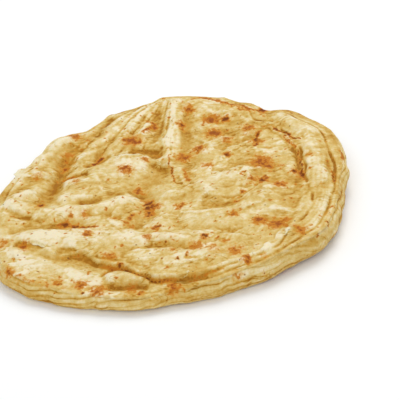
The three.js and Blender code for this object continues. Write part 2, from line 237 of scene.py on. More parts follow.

# %% [markdown]
# ## Folds and tears of the skin
# The big forms are laid one by one, as a baker's fingers would: each fold or hollow is a smooth curve through
# a few points, with a height and a half width on either side. A tear is a curve where one sheet ends over
# another: full height at its edge, easing away behind it, and a sharp drop in front. Plan points are in mm
# from the coil's middle, x to the east and y to the north.

# %% Folds, hollows and tears
FOLDS = [  # rise, half width on the left and on the right going along, points in plan
    (1.2, 2.8, 2.6, [(5.5, 93.5), (2.5, 66.5), (0, 41), (1.5, 14.5)]),  # spine
    (0.9, 2.0, 2.0, [(15.5, 91), (7.5, 72.5), (6, 54.5), (7, 39)]),
    (-1.6, 4.0, 4.0, [(-3.5, 87.5), (-4.5, 61), (-7, 45.5)]),
    (-1.4, 6.0, 4.0, [(12.5, 84.5), (12, 58.5), (11, 33), (11.5, 6)]),
    (-1.8, 3.5, 5.0, [(-23, 41), (-12, 39), (-3, 30)]),  # gap behind the torn pillow
    (1.5, 9.0, 9.0, [(-45, 13), (-35, 22.5), (-21, 25.5), (-11, 23.5)]),  # torn pillow
    (-2.8, 8.0, 9.0, [(0, 24.5), (-7.5, 12), (-13.5, 2.5), (-21.5, -5)]),  # heart hollow
    (-2.2, 7.0, 10.0, [(-11.5, 2.5), (-11.5, -12.5), (-13.5, -27.5), (-23.5, -37.5)]),
    # the western hollow
    (-2.6, 7.0, 7.0, [(-39.5, 64.5), (-50.5, 47.5), (-59, 31.5), (-63, 10.5), (-71.5, -12)]),
    (-1.4, 4.0, 4.0, [(-48.5, 51), (-55, 40.5), (-62, 19), (-65.5, 2)]),
    (3.0, 9.0, 8.0, [(-89, 14.5), (-77, 38.5), (-67.5, 48.5), (-50.5, 61.5)]),  # shoulder fold
    (1.2, 3.0, 3.0, [(-77, 23), (-67, 21), (-63, 29.5)]),
    (1.2, 3.0, 3.0, [(-87, 1.5), (-77, 3), (-71, 12.5)]),
    (1.4, 4.0, 4.0, [(-38.5, 76), (-43.5, 61), (-50.5, 47.5), (-57, 37)]),
    (-2.0, 4.0, 4.0, [(-30.5, 81.5), (-36.5, 68.5), (-42.5, 56.5)]),
    (1.5, 4.0, 4.0, [(-24.5, 81.5), (-34.5, 64), (-43.5, 49), (-53, 34.5)]),
    (-1.8, 3.5, 3.5, [(-20.5, 73), (-30.5, 55.5), (-37, 42.5), (-45, 28.5)]),
    (1.2, 4.0, 4.0, [(-10.5, 84), (-20.5, 66.5), (-28.5, 53.5), (-35, 42)]),
    (-1.1, 2.5, 2.5, [(-10.5, 80), (-16.5, 64.5), (-22.5, 57)]),
    (0.9, 3.0, 3.0, [(-6.5, 73.5), (-12.5, 61), (-18.5, 53.5), (-27, 45.5)]),
    (-1.4, 2.5, 2.5, [(-49, 27.5), (-39, 31.5), (-31, 39)]),
    (-1.4, 2.0, 3.0, [(-61, 20), (-53, 19.5), (-45, 21.5)]),
    (1.0, 4.0, 4.0, [(-59, 12), (-49, 11), (-39, 15)]),
    (1.4, 8.0, 8.0, [(-61.5, -7), (-49, 1.5), (-35, 7.5)]),  # western pillows
    (1.8, 7.0, 7.0, [(-87.5, -11.5), (-82, -3), (-75, 7.5)]),
    (-1.2, 3.0, 3.0, [(-91, -6), (-83.5, -15.5), (-73.5, -19)]),
    (-1.5, 5.0, 4.0, [(-51.5, -10), (-37.5, -6.5), (-24.5, 1)]),  # groove across the middle
    (1.2, 4.0, 5.0, [(-65.5, -15), (-43.5, -13), (-19.5, -7.5)]),
    (-1.2, 3.0, 3.0, [(-47.5, -19.5), (-35.5, -22), (-25.5, -26)]),
    # the hollow to the western crease, and the pale fold in front of it
    (-2.2, 7.0, 4.5, [(-92, -32), (-75.5, -27.5), (-59.5, -26.5), (-41.5, -34)]),
    (1.6, 6.0, 9.0, [(-85.5, -37), (-61.5, -39), (-35.5, -43.5), (-8, -47.5), (20, -57.5)]),
    (-1.4, 3.5, 3.5, [(-84, -43), (-76, -46.5), (-66, -50.5)]),  # pockets under it
    (-1.8, 8.0, 7.0, [(-62, -53), (-50, -57), (-36, -64)]),
    (1.2, 4.0, 4.0, [(-84, -57.5), (-70, -58.5), (-56.5, -65.5), (-42.5, -71)]),
    (-1.2, 3.0, 3.0, [(-80, -63.5), (-66.5, -65.5), (-56.5, -71.5)]),
    (1.2, 9.0, 9.0, [(-24, -60.5), (0, -66), (29.5, -62)]),
    (-1.4, 4.0, 4.0, [(-16, -51.5), (0, -56), (16, -63.5)]),
    (-1.4, 6.0, 6.0, [(66, 2.5), (68, -15), (64, -34.5), (53.5, -51)]),  # eastern swale
    (1.8, 9.0, 9.0, [(14.5, -6.5), (30.5, 0), (48.5, 1.5)]),  # eastern pillow
    (-1.4, 5.0, 5.0, [(19.5, 72.5), (33, 61.5), (45, 54)]),
    (-1.2, 4.0, 4.0, [(29, 55.5), (37, 45), (38.5, 33)]),
    (1.0, 4.0, 4.0, [(17, 24.5), (27, 37), (41, 44.5), (55, 49)]),
    (-1.4, 5.0, 5.0, [(14.5, -17.5), (28, -22), (42, -18)]),
    (1.0, 4.0, 4.0, [(4, -26.5), (20, -31.5), (40, -27.5), (54, -18.5)]),
    (-1.0, 4.0, 4.0, [(0, -35), (20, -44), (36, -50.5)]),
    (1.8, 5.0, 5.0, [(63, 56.5), (78.5, 34), (82, 5), (81, -17)]),  # eastern ring
    (-1.4, 2.5, 2.5, [(91, 19.5), (89, 0), (88, -15.5)]),
    (-1.5, 1.2, 2.4, [(70, 27), (71.8, 17), (72.4, 5), (72.6, -9)]),
    (1.6, 6.0, 5.0, [(59, 66), (72.5, 51.5), (86, 34)]),  # tail of the coil
]
# A steam pocket lifts the lower turn: its dome, the creases round it, its mouth, and the flap's mouth.
POCKET = [
    (2.8, 4.6, 4.4, [(-36, -78), (-28, -76), (-20.5, -77.5), (-12, -82.5)]),
    (-1.2, 1.2, 1.2, [(-38.5, -74.5), (-35, -71), (-31, -69.5), (-25.5, -70.5), (-19.5, -75), (-12, -81)]),
    (-2.6, 1.6, 2.0, [(-35, -82.5), (-29, -84), (-21, -84), (-12.5, -86)]),
    (-2.4, 1.8, 1.8, [(3, -84), (9, -83.2), (13, -83), (18, -82.8)]),
]
# Rise at the edge, how far it eases away behind, how ragged it is, and points, with the sheet on the left.
TEARS = [
    (0.6, 9, 1.2, [(-25, 38.5), (-16, 42.5), (-8, 40), (-4, 33)]),
    (0.64, 8, 1.8, [(-7, 31), (-15, 35), (-25, 36), (-34, 32)]),
    (0.88, 9, 1.2, [(-39.5, -36.5), (-51.5, -34.5), (-61.5, -35), (-75.5, -36.5), (-85.5, -38)]),
    (0.88, 6, 2.4, [(-83.5, -40.5), (-71.5, -45), (-62, -49)]),
    (0.88, 6, 2.4, [(-60, -49), (-50, -52), (-40, -58)]),
    (1.04, 7, 1.6, [(-42, -58.5), (-34, -62.5), (-26, -65.5)]),
    (0.72, 7, 1.0, [(-17.5, -5), (-33.5, -11.5), (-51.5, -14.5)]),
    (0.6, 3, 1.0, [(5.5, 86.5), (3.5, 64.5), (3, 43), (4, 24)]),
    (0.6, 3, 1.0, [(-2, 26), (-2, 45), (-0.5, 66.5), (3.5, 84.5)]),
    (0.72, 6, 1.4, [(-46, 19.5), (-53, 19.5), (-61, 19)]),
    (0.64, 5, 1.2, [(-57, 35), (-48.5, 49), (-40.5, 60.5), (-32.5, 69.5)]),
    (0.56, 5, 1.2, [(-39, 40.5), (-32.5, 52), (-24.5, 62.5), (-14.5, 75.5)]),
    (0.6, 4, 1.4, [(-28.5, 51.5), (-20.5, 60.5), (-10.5, 73.5)]),
    (0.72, 5, 1.5, [(59.5, -50.5), (55.5, -56.5), (55.5, -63)]),
    (0.64, 4, 1.5, [(64.5, -46.5), (60.5, -54), (61.5, -60.5)]),
    (0.64, 5, 1.5, [(51.5, -64), (46.5, -67.5), (45.5, -71)]),
    (0.64, 6, 1.8, [(45.5, -71), (33.5, -75.5), (21.5, -80)]),
    (0.72, 5, 1.4, [(57, 51), (62.5, 41), (68.5, 29), (71, 17)]),
    (0.64, 5, 1.6, [(20.5, 8.5), (30.5, 23), (44.5, 32.5)]),
    (0.56, 5, 1.8, [(4.5, 13.5), (8.5, 0.5), (16.5, -8.5)]),
    (0.56, 6, 1.8, [(54, -6), (44, -16), (30, -18)]),
    (0.56, 6, 1.8, [(0.5, -22), (14, -29), (32, -30.5)]),
    (0.64, 6, 1.8, [(28, -57), (10, -61), (-6, -58)]),
    (0.56, 5, 1.6, [(36, -32.5), (46, -27.5), (56, -16)]),
    (0.56, 5, 1.6, [(43.5, -58.5), (34, -52.5), (24, -51)]),
    (0.56, 5, 1.6, [(-70, -58.5), (-56.5, -65.5), (-42.5, -72)]),
    (0.56, 5, 1.6, [(-27.5, -16), (-33.5, -24), (-29.5, -35.5)]),
    (0.6, 4, 1.6, [(38.5, 11.5), (42.5, -0.5), (40, -11.5)]),
    (0.6, 4, 1.6, [(13, 54.5), (19, 42), (25, 33.5)]),
    (0.56, 4, 1.4, [(82.5, 34), (86, 17), (85, -0.5)]),
]
print(len(FOLDS), "folds and hollows,", len(POCKET), "curves round the steam pocket,", len(TEARS), "tears")

# %% [markdown]
# ## From curves to heights
# A curve given by its points becomes a smooth one by the Catmull-Rom rule, which passes through every point.
# To find a place's height, its distance to each curve is measured, with its side and how far along the curve
# it is. A bell of the distance makes a fold, and both kinds of mark fade out at their ends.

# %% Heights of folds and tears
FOLD_END = 0.16  # share of a fold's length over which it fades in and out
TEAR_END = 0.15  # the same for a tear
TEAR_DROP = 0.7  # mm over which a torn edge drops
TEAR_LUMP = 6  # mm, the size of the raggedness of a torn edge
CURVE_STEPS = 8  # between two given points


def smooth_curve(points):
    """A Catmull-Rom curve through the points."""
    p = np.array(points, float)
    p = np.vstack([2 * p[0] - p[1], p, 2 * p[-1] - p[-2]])
    t = np.linspace(0, 1, CURVE_STEPS, endpoint=False)[:, None]
    spans = [
        0.5 * (2 * b + (c - a) * t + (2 * a - 5 * b + 4 * c - d) * t**2 + (3 * b - a - 3 * c + d) * t**3)
        for a, b, c, d in zip(p, p[1:], p[2:], p[3:])
    ]
    return np.vstack([*spans, p[-2]])


def measure_along(curve, x, y):
    """Distance to a curve, positive on its left, and the share of the way along it."""
    closest = np.full(x.shape, np.inf)
    side, share = np.ones(x.shape), np.zeros(x.shape)
    for i, ((ax, ay), (bx, by)) in enumerate(zip(curve, curve[1:])):
        dx, dy = bx - ax, by - ay
        t = np.clip(((x - ax) * dx + (y - ay) * dy) / (dx * dx + dy * dy), 0, 1)
        off_x, off_y = x - ax - t * dx, y - ay - t * dy
        distance = np.hypot(off_x, off_y)
        nearer = distance < closest
        closest = np.where(nearer, distance, closest)
        side = np.where(nearer, np.where(dx * off_y > dy * off_x, 1, -1), side)
        share = np.where(nearer, (i + t) / (len(curve) - 1), share)
    return side * closest, share


def near(curve, x, y, reach):
    """Which points lie in the curve's box, grown by reach."""
    low, high = curve.min(axis=0) - reach, curve.max(axis=0) + reach
    return (x > low[0]) & (x < high[0]) & (y > low[1]) & (y < high[1])


def fold_height(folds, x, y):
    height = np.zeros(x.shape)
    for rise, left, right, points in folds:
        curve = smooth_curve(points)
        here = near(curve, x, y, 3 * max(left, right))
        distance, share = measure_along(curve, x[here], y[here])
        ends = smoothstep(share, -0.02, FOLD_END) * (1 - smoothstep(share, 1 - FOLD_END, 1.02))
        height[here] += rise * ends * bell(distance, np.where(distance > 0, left, right))
    return height


def tear_height(x, y):
    height = np.zeros(x.shape)
    for i, (rise, behind, ragged, points) in enumerate(TEARS):
        curve = smooth_curve(points)
        here = near(curve, x, y, 3 * behind)
        px, py = x[here], y[here]
        distance, share = measure_along(curve, px, py)
        distance += ragged * rough_noise(px / TEAR_LUMP, py / TEAR_LUMP, 300 + i)
        ends = smoothstep(share, 0, TEAR_END) * (1 - smoothstep(share, 1 - TEAR_END, 1))
        sheet = smoothstep(distance, -TEAR_DROP, 0) * np.exp(-np.maximum(distance, 0) / behind)
        height[here] += rise * ends * sheet
    return height


on_spine = np.array(FOLDS[0][3][1:2], float).T
print("the spine fold stands", fold_height(FOLDS[:1], *on_spine).round(2), "mm high at its second point")

# %% [markdown]
# ## Fine relief of the skin
# Over the folds go small billows with creases between them: the size of a noise field, without its sign, is
# rounded above and sharp below. Then come finer wrinkles, strands that fan out from the gathered point, long
# fine lines, and thin terraces: where a paper-thin layer has flaked off, the surface drops by the thickness
# of a leaf along a wandering line. In the south-east the layers of the coil show from above as long strands.

# %% Fine relief
BILLOWS = [(0.38, 36, 21, 11), (0.13, 15, 10, 12), (0.05, 6.5, 5, 13)]  # height, length, width, seed
BILLOW_SHARPNESS = 0.03  # the smaller, the sharper the valleys between the billows
RING_BILLOW = 0.3  # mm
LONG_CREASE, SHORT_CREASE = 0.2, 0.08  # mm, the depth of the wrinkles
LEAF = 0.32  # mm, the drop where a flake is missing
LEAVES_OVER = 3.5  # how many leaves the flaked patches go down through, at most
GRAIN_AT = 24  # degrees: the billows are drawn out from south-west to north-east
GATHERED_AT = (4, 106)  # mm in plan
STRANDED_AT, STRANDED_SPREAD = 332, 56  # degrees: where the lower turn shows its layers from above
STRAND_PITCH = 2.6  # mm


def along_grain(x, y):
    """A plan point's place along the grain of the skin and across it."""
    cos, sin = math.cos(math.radians(GRAIN_AT)), math.sin(math.radians(GRAIN_AT))
    return x * cos + y * sin, y * cos - x * sin


def ridged(field, sharp=0.02):
    """A field about zero turned into rounded ridges with narrow valleys along its zero lines."""
    return 2 * np.sqrt(field**2 + sharp) - 0.5


def billow_height(x, y):
    length, width = along_grain(x, y)
    length = length + 6 * noise(x / 25, y / 25, 5)
    width = width + 9 * noise(x / 30, y / 30, 6)
    return sum(
        height * ridged(noise(length / long, width / wide, seed), BILLOW_SHARPNESS)
        for height, long, wide, seed in BILLOWS
    )


def ring_billow_height(radius, angle):
    """Billows that run round with the coil, in the east and south, where its turns show through the skin."""
    here = smoothstep(radius, 30, 50) * bell(turned_from(angle, 340), 75)
    lumps = rim_noise(angle, 34, 14, radius / 8 + 0.6 * rim_noise(angle, 15, 15, radius / 12))
    return RING_BILLOW * here * ridged(lumps)


def crinkle_height(x, y):
    """Thin sharp creases along the zero lines of a drawn-out field, the long ones in patches."""
    length, width = along_grain(x, y)
    length = length + 7 * noise(x / 18, y / 18, 91)
    width = width + 9 * noise(x / 22, y / 22, 92)
    patches = smoothstep(noise(x / 17, y / 17, 93), -0.25, 0.3)
    long_creases = bell(noise(length / 21, width / 9, 94), 0.07)
    short_creases = bell(noise(length / 9, width / 6, 95), 0.08)
    return -LONG_CREASE * patches * long_creases - SHORT_CREASE * short_creases


def gathered(x, y):
    """1 where the skin is drawn into strands, 0 where it lies loose."""
    return smoothstep(y - 0.35 * x, 15, 45) * (1 - 0.7 * smoothstep(x, -4, 12))


def gather_height(x, y):
    """Strands that fan out over the north-west from the point where the skin is drawn together."""
    east, north = x - GATHERED_AT[0], y - GATHERED_AT[1]
    away = np.hypot(east, north)
    turn = np.degrees(np.arctan2(north, east)) % 360 + 5 * noise(x / 26, y / 26, 96)
    strands = ridged(noise(turn / 6, away / 60, 103)) + 0.3 * ridged(noise(turn / 2.6, away / 36, 104)) - 0.4
    return gathered(x, y) * smoothstep(away, 2, 20) * strands


def streaks(x, y):
    """Fine long lines in the stretched skin: round the coil in the east and south, else along the grain."""
    radius, angle = np.hypot(x, y), np.degrees(np.arctan2(y, x)) % 360
    sway_x, sway_y = 6 * noise(x / 22, y / 22, 97), 6 * noise(x / 22, y / 22, 98)
    length, width = along_grain(x + sway_x, y + sway_y)
    along = noise(length / 24, width / 3.2, 105) + 0.5 * noise(length / 10, width / 1.5, 106)
    swayed = radius + sway_x
    round_coil = rim_noise(angle, 28, 101, swayed / 3.2) + 0.5 * rim_noise(angle, 14, 102, swayed / 1.5)
    outer_east = smoothstep(radius, 50, 72) * smoothstep(x - 0.4 * y, -20, 10)
    return lerp(along, round_coil, outer_east)


def flaked(x, y):
    """Thin terraces: a slow field cut into levels, one leaf apart. Gives the level and where it shows."""
    field = LEAVES_OVER * rough_noise(x / 24, y / 15, 21, octaves=5)
    level = np.floor(field)
    patches = smoothstep(rough_noise(x / 28, y / 22, 31, octaves=2), -0.35, 0.25)
    return level + smoothstep(field - level, 0.0, 0.14), patches


def stranded(angle):
    return bell(turned_from(angle, STRANDED_AT), STRANDED_SPREAD)


def strand_height(radius, angle):
    """Layers seen from above as long strands that run round the rim, drift and join."""
    drift = 1.8 * rim_noise(angle, 60, 46, radius / 15) + 0.4 * rim_noise(angle, 22, 47, radius / 9)
    phase = (rim_radius(angle) - radius) / STRAND_PITCH + drift
    return stranded(angle) * (np.sqrt(np.abs(np.sin(np.pi * phase))) - 0.7)


across_east = billow_height(np.linspace(-90, 90, 200), np.zeros(200))
print("billows run from", *np.round([across_east.min(), across_east.max()], 2), "mm along the east-west line")

# %% [markdown]
# ## The height map: the flap
# The top is worked out once, on a fine grid of heights, and every piece reads its heights from there, so the
# pieces agree. This cell makes the upper level, the gathered flap of skin. The laid curves are bent a little
# by noise first, as no fold of dough is smooth. The floors of the hollows stay calm, because oil pools there.

# %% Height map of the flap
MAP_HALF, MAP_STEP = 112.0, 0.4  # mm
WEST_THICKNESS, EAST_THICKNESS = 12.0, 16.6  # mm
THICKENS_FROM, THICKENS_TO = -26, 74  # mm in plan, from west to east
CALM_FROM, CALM_TO = 0.8, 3.0  # mm below the skin's level: where a hollow's floor is smooth
STREAK, STRAND = 0.04, 0.45  # mm, heights of the fine lines and the gathered strands
RING_AT, RING_SPREAD = 345, 60  # degrees: where the outer turns lie smooth and round

steps = np.arange(-MAP_HALF, MAP_HALF + MAP_STEP / 2, MAP_STEP)
map_x, map_y = np.meshgrid(steps, steps, indexing="ij")
map_angle = np.degrees(np.arctan2(map_y, map_x)) % 360
map_radius = np.hypot(map_x, map_y)
map_rim = rim_radius(map_angle)
map_share = map_radius / map_rim  # 0 in the middle, 1 at the rim

bent_x = map_x + 1.8 * noise(map_x / 18, map_y / 18, 81) + 0.25 * noise(map_x / 5, map_y / 5, 82)
bent_y = map_y + 1.8 * noise(map_x / 18, map_y / 18, 83) + 0.25 * noise(map_x / 5, map_y / 5, 84)
fold_map = fold_height(FOLDS, bent_x, bent_y)
calm_map = smoothstep(-fold_map, CALM_FROM, CALM_TO)
skin_level = lerp(WEST_THICKNESS, EAST_THICKNESS, smoothstep(map_x, THICKENS_FROM, THICKENS_TO))
streak_map = streaks(map_x, map_y)
gather_map = gather_height(map_x, map_y)
loose = 1 - 0.75 * gathered(map_x, map_y)
relief_map = loose * (billow_height(map_x, map_y) + crinkle_height(map_x, map_y))
relief_map += ring_billow_height(map_radius, map_angle)
relief_map += STREAK * streak_map + STRAND * gather_map
ring_map = smoothstep(map_share, 0.76, 0.84) * bell(turned_from(map_angle, RING_AT), RING_SPREAD)
relief_map *= 1 - 0.5 * ring_map
relief_map = fold_map + (1 - 0.75 * calm_map) * relief_map
flap_inside = flap_radius(map_angle) - map_radius  # mm, negative beyond the flap's edge
flap_ledge = eased(FLAP_EDGE, LEDGE, map_angle)
near_flap_edge = smoothstep(flap_ledge, 1.4, 2.8) * bell(flap_inside - 3, 4)
relief_map *= 1 - 0.5 * near_flap_edge
leaf_level, leaf_patches = flaked(map_x, map_y)
flake_map = (1 - 0.8 * calm_map) * (1 - 0.7 * ring_map) * LEAF * leaf_patches * leaf_level
upper_map = skin_level + relief_map + flake_map + tear_height(bent_x, bent_y)
print("upper level:", upper_map.shape, "its hollows go down", round(-relief_map.min(), 1), "mm")

# %% [markdown]
# ## The height map: the lower turns
# Beyond the flap's edge the surface steps down to the lower turn of dough, and once more to the outermost
# one. Their relief is quieter and follows the flap's more softly, because they lie under it. The two levels
# are then blended across the flap's edge: slowly where the skin is closed, sharply where the flap stands
# free over a crease. At the rim the skin slumps down to the wall.

# %% Height map of the lower turns
OUTER_RELIEF = 0.45  # share of the relief that carries on to the lower turns
SOFT_RELIEF = 5.0  # mm over which it is softened near the rim
SLUMP, SLUMP_WIDTH = 1.6, 7.0  # mm that the skin comes down at the rim, and over what width
STEP_WIDTH, CREASE_WIDTH, CREASE_OUT = 0.9, 0.8, 1.0  # mm
FLAP_DROP = 4.5  # mm over which the skin comes down to the lower turn in front of the flap's edge
SHARP_DROP = 1.8  # the same where the flap stands high over it
CLOSED_DROP = 14  # mm on either side over which it comes down where there is no free edge
FLAP_CREASE = 2.0  # mm, the deepest crease in front of the flap
FLAP_LIP = 0.1  # mm
MAP_BLUR = 0.3  # mm
LOWEST = 4.5  # mm


def softened(heights, radius):
    """A map blurred by a bell of that radius in mm, in the frequency domain."""
    wave = np.fft.fftfreq(len(steps), MAP_STEP)
    keep = np.exp(-2 * (np.pi * radius) ** 2 * (wave[:, None] ** 2 + wave[None, :] ** 2))
    return np.fft.ifft2(np.fft.fft2(heights) * keep).real


def step_and_crease(inside, ledge, crease):
    """The drop beyond an edge, with a crease in front of it."""
    return ledge * smoothstep(-inside, 0, STEP_WIDTH) + crease * bell(inside + CREASE_OUT, CREASE_WIDTH)


quieter = lerp(1, OUTER_RELIEF, smoothstep(flap_ledge, 0.2, 2))
calm_relief = lerp(relief_map, softened(relief_map, SOFT_RELIEF), smoothstep(map_share, 0.86, 0.95))
lower_map = skin_level + quieter * calm_relief + 0.8 * flake_map - flap_ledge
lower_map += 0.2 * strand_height(map_radius, map_angle)
turn_ledge, turn_crease = (eased(TURN_EDGE, column, map_angle) for column in (LEDGE, CREASE))
turn_fades = 0.3 + 0.7 * smoothstep(rim_noise(map_angle, 30, 49), -0.4, 0.4)
turn_step = turn_fades * step_and_crease(turn_radius(map_angle) - map_radius, turn_ledge, turn_crease)
lower_map += fold_height(POCKET, map_x, map_y) - turn_step
slump = np.maximum(0, SLUMP - 0.6 * np.maximum(flap_ledge, 0) - turn_ledge)
lower_map -= slump * (1 - smoothstep(OUTER_SHARE * map_rim - map_radius, 0, SLUMP_WIDTH))

flap_crease = eased(FLAP_EDGE, CREASE, map_angle)
has_flap = smoothstep(flap_crease, 0.0, 0.2)
flap_drop = lerp(FLAP_DROP, SHARP_DROP, smoothstep(flap_ledge, 2.0, 3.0))
closed_step = smoothstep(-flap_inside, -CLOSED_DROP, CLOSED_DROP)
beyond = lerp(closed_step, smoothstep(-flap_inside, -0.6, flap_drop), has_flap)
broken = smoothstep(rim_noise(map_angle, 14, 48), -0.5, 0.3)  # the crease opens and closes along its way
top_map = lerp(upper_map, lower_map, beyond)
top_map -= broken * np.minimum(flap_crease, FLAP_CREASE) * bell(flap_inside + CREASE_OUT, CREASE_WIDTH)
top_map += FLAP_LIP * has_flap * bell(flap_inside - 0.8, 0.9)
top_map = softened(top_map, MAP_BLUR)
top_map = LOWEST + np.logaddexp(0, top_map - LOWEST)  # no hollow goes deeper


def read_map(heights, x, y):
    """The map's height at any point, blended between the four grid points around it."""
    u, v = (np.clip((c + MAP_HALF) / MAP_STEP, 0, len(steps) - 1.001) for c in (x, y))
    i, j = u.astype(int), v.astype(int)
    s, t = u - i, v - j
    near_row = lerp(heights[i, j], heights[i + 1, j], s)
    far_row = lerp(heights[i, j + 1], heights[i + 1, j + 1], s)
    return lerp(near_row, far_row, t)


print("height map:", top_map.shape, "from", round(top_map.min(), 1), "to", round(top_map.max(), 1), "mm")

# %% [markdown]
# ## Painted shade and marks of the pan
# Like the folds, these marks are listed one by one. Golden strokes, most of them along hollows, gaps and the
# mouths of the steam pocket, paint shade there; raised skin stays dry and pale; toasted and scorched marks
# sit where the dough touched the hot pan, save a few strokes in mouths, a gap and on the shoulder's inner
# flank, which paint shade too. Every mark is soft: it has a half width or a radius, and a strength that fades
# away from its middle.
# it has a half width or a radius, and a strength that fades away from its middle.

# %% Golden, pale and toasted marks
GOLD_AND_SHADE_STROKES = [  # half width, strength, points: golden strokes, most along hollows, gaps and the steam pocket's mouths, where they paint shade
    (6, 0.9, [(-44.5, 57), (-50.5, 47.5), (-56, 41.5), (-59, 35.5)]),
    (5, 0.7, [(-61, 32.5), (-62, 13.5), (-69.5, -5), (-70.5, -10)]),
    (4, 0.9, [(-31.5, 78.5), (-33.5, 72), (-38.5, 63.5)]),
    (5, 0.6, [(-89, 4), (-79, 9)]),
    (6, 0.5, [(-75, 27), (-65, 23)]),
    (3, 0.7, [(-31.5, 57.5), (-32, 46)]),
    (2, 0.8, [(-59, 21), (-49, 20.5)]),
    (4, 0.7, [(-43, 28), (-37, 33.5)]),
    (4, 2.0, [(-20, 42), (-11, 38), (-4, 34)]),
    (7, 0.35, [(-2, 22.5), (-8.5, 10.5), (-15.5, 1.5)]),
    (5, 0.3, [(-11.5, 0.5), (-10.5, -14.5), (-17.5, -27.5)]),
    (4, 0.6, [(-23.5, -17.5), (-23.5, -35)]),
    (4, 0.8, [(-49.5, -10), (-37.5, -5.5), (-25.5, 0.5)]),
    (5, 0.7, [(-81.5, -32.5), (-71.5, -28), (-57.5, -27)]),
    (3, 1.1, [(-79.5, -44.5), (-72, -48.5)]),
    (3, 0.9, [(-60, -52.5), (-52, -54.5), (-44, -59.5)]),
    (7, 0.6, [(-62, -58.5), (-50, -55.5), (-38.5, -67)]),
    (3.0, 0.7, [(-29, -75.5), (-21, -77), (-13, -81.5)]),
    (2.8, 1.5, [(-35, -82), (-29, -83.4), (-21, -83.4), (-13, -85.4)]),
    (2.2, 1.4, [(4, -83.6), (10, -83.1), (17.5, -82.6)]),
    (4, 0.7, [(-4.5, 75.5), (-3, 54.5)]),
    (4, 0.6, [(10, 56.5), (12, 35), (10.5, 12.5)]),
    (5, 0.6, [(39, 54.5), (35, 47)]),
    (4, 0.7, [(51, 64.5), (53, 49.5)]),
    (3, 1.2, [(70, 24), (71.5, 8), (71.8, -10)]),
    (3, 0.9, [(87.5, 22), (89.5, 8), (89.5, -10)]),
    (4, 0.6, [(74, -11), (77, -24.5)]),
    (3, 0.6, [(83, -19), (73.5, -34), (63.5, -50)]),
    (5, 0.5, [(22, -20), (32, -24.5)]),
    (6, 0.4, [(-6, -53.5), (8, -59)]),
    (5, 0.5, [(56, 0), (62, -27)]),
]
PALE = [  # half width, strength, points: dry raised skin
    (6, 0.7, [(-83.5, -36.5), (-61.5, -39), (-35.5, -43.5), (-8, -47.5), (10, -41.5), (24, -36)]),
    (3, 0.6, [(6.5, 93.5), (1.5, 66.5), (1, 41)]),
    (5, 0.5, [(18.5, 11), (28.5, 4), (36.5, 0), (40, -11.5)]),
    (7, 1.0, [(-88, 18.5), (-77, 42.5), (-66, 54.5), (-51, 64)]),
    (3, 0.4, [(-23.5, 77), (-33.5, 56)]),
    (3, 0.4, [(-8.5, 88), (-28.5, 59)]),
    (8, 1.0, [(-82, -54), (-68, -61), (-53.5, -69), (-40, -77)]),
    (3, 0.5, [(21.5, -78.5), (43.5, -71), (59.5, -56)]),
    (6, 0.6, [(40, -84), (66, -66), (80, -44), (88, -24)]),
    (3, 0.4, [(-65.5, -12.5), (-43.5, -12), (-19.5, -5.5)]),
    (5, 0.6, [(-38, 20.5), (-27, 25.5), (-15, 26)]),
    (4, 0.4, [(46.5, 32), (56.5, 21.5), (62.5, 31.5)]),
    (4, 0.4, [(78, 26), (80, 1)]),
    (3, 0.4, [(60, -13.5), (52, -31.5), (40, -36.5)]),
]
TOAST_AND_SHADE_STROKES = [  # half width, toast, scorch, points
    # the first three strokes are painted shade: in the steam pocket's mouth, in the crease round its dome,
    # and in the flap's mouth
    (2.0, 0.25, 0.0, [(-33.5, -82.6), (-29, -83.8), (-21, -83.8), (-14, -85.6)]),
    (0.9, 0.5, 0.1, [(-36, -71.5), (-31, -69.6), (-25.5, -70.6), (-19.5, -75.2), (-13, -81)]),
    (1.6, 0.3, 0.0, [(6, -83.3), (11, -82.9), (16, -82.4)]),
    (2.6, 1.0, 0.3, [(-24.5, 52), (-20, 49.5), (-16, 49)]),
    (2.2, 0.9, 0.1, [(-10.5, 71.5), (-6.5, 65), (-12.5, 59)]),
    (2.6, 0.9, 0.1, [(53.5, -45), (61.5, -43.5)]),
    (1.1, 0.9, 0.4, [(-61, -25), (-52, -28.5), (-41, -32)]),
    # the next two strokes are painted shade: on the shoulder's inner flank, and in the gap under the torn
    # edge behind the pillow
    (4, 0.3, 0.0, [(-46, 56), (-52, 47), (-57, 39)]),
    (1.6, 0.35, 0.0, [(-20, 42), (-10, 37.5), (-3, 33)]),
    (2.6, 0.8, 0.2, [(-13.5, -8), (-9.5, -14.5), (-10.5, -22)]),
    (1.6, 1.0, 0.5, [(-42, 31), (-37, 37)]),
    (1.0, 0.8, 0.2, [(-59, 20), (-49, 19)]),
    (1.0, 1.0, 0.8, [(61.5, 46.5), (66, 40), (70.5, 35), (76, 30)]),
    (1.2, 0.6, 0.35, [(61.4, 48.1), (65.7, 37.8), (69, 29.7), (71.5, 22)]),
    (1.4, 0.6, 0.5, [(72.1, 19.7), (73.5, 10), (73.9, 1.5), (73.6, -8)]),
    (1.2, 0.7, 0.5, [(89.8, -2), (89.5, -11)]),
    (1.0, 0.75, 0.2, [(96.5, 18), (96.7, 12)]),
    (1.4, 0.9, 0.5, [(52.5, 43.5), (50.5, 36), (49.5, 30)]),
    (0.9, 0.7, 0.4, [(26.5, 70), (25, 64)]),
    (1.0, 0.8, 0.2, [(21, 64.5), (21, 58)]),
    (0.8, 0.7, 0.5, [(1, 31.5), (1, 20.5), (2.5, 4)]),
    (1.5, 0.7, 0.2, [(9.5, 17), (10.5, 2)]),
    (1.4, 0.85, 0.1, [(17, 91), (24.8, 89.3), (32.3, 82.8), (40.7, 77.1), (48, 71.5), (54, 68.2)]),
    (0.9, 0.7, 0.3, [(28.2, 83.8), (36.7, 77.6), (43.4, 71.8), (48.9, 68.1)]),
    (1.8, 0.4, 0.1, [(-90.5, -60.5), (-78.5, -71.5), (-62.5, -79)]),
    (1.4, 0.35, 0.0, [(-60.5, -79), (-46.5, -83.5), (-30.5, -86)]),
]
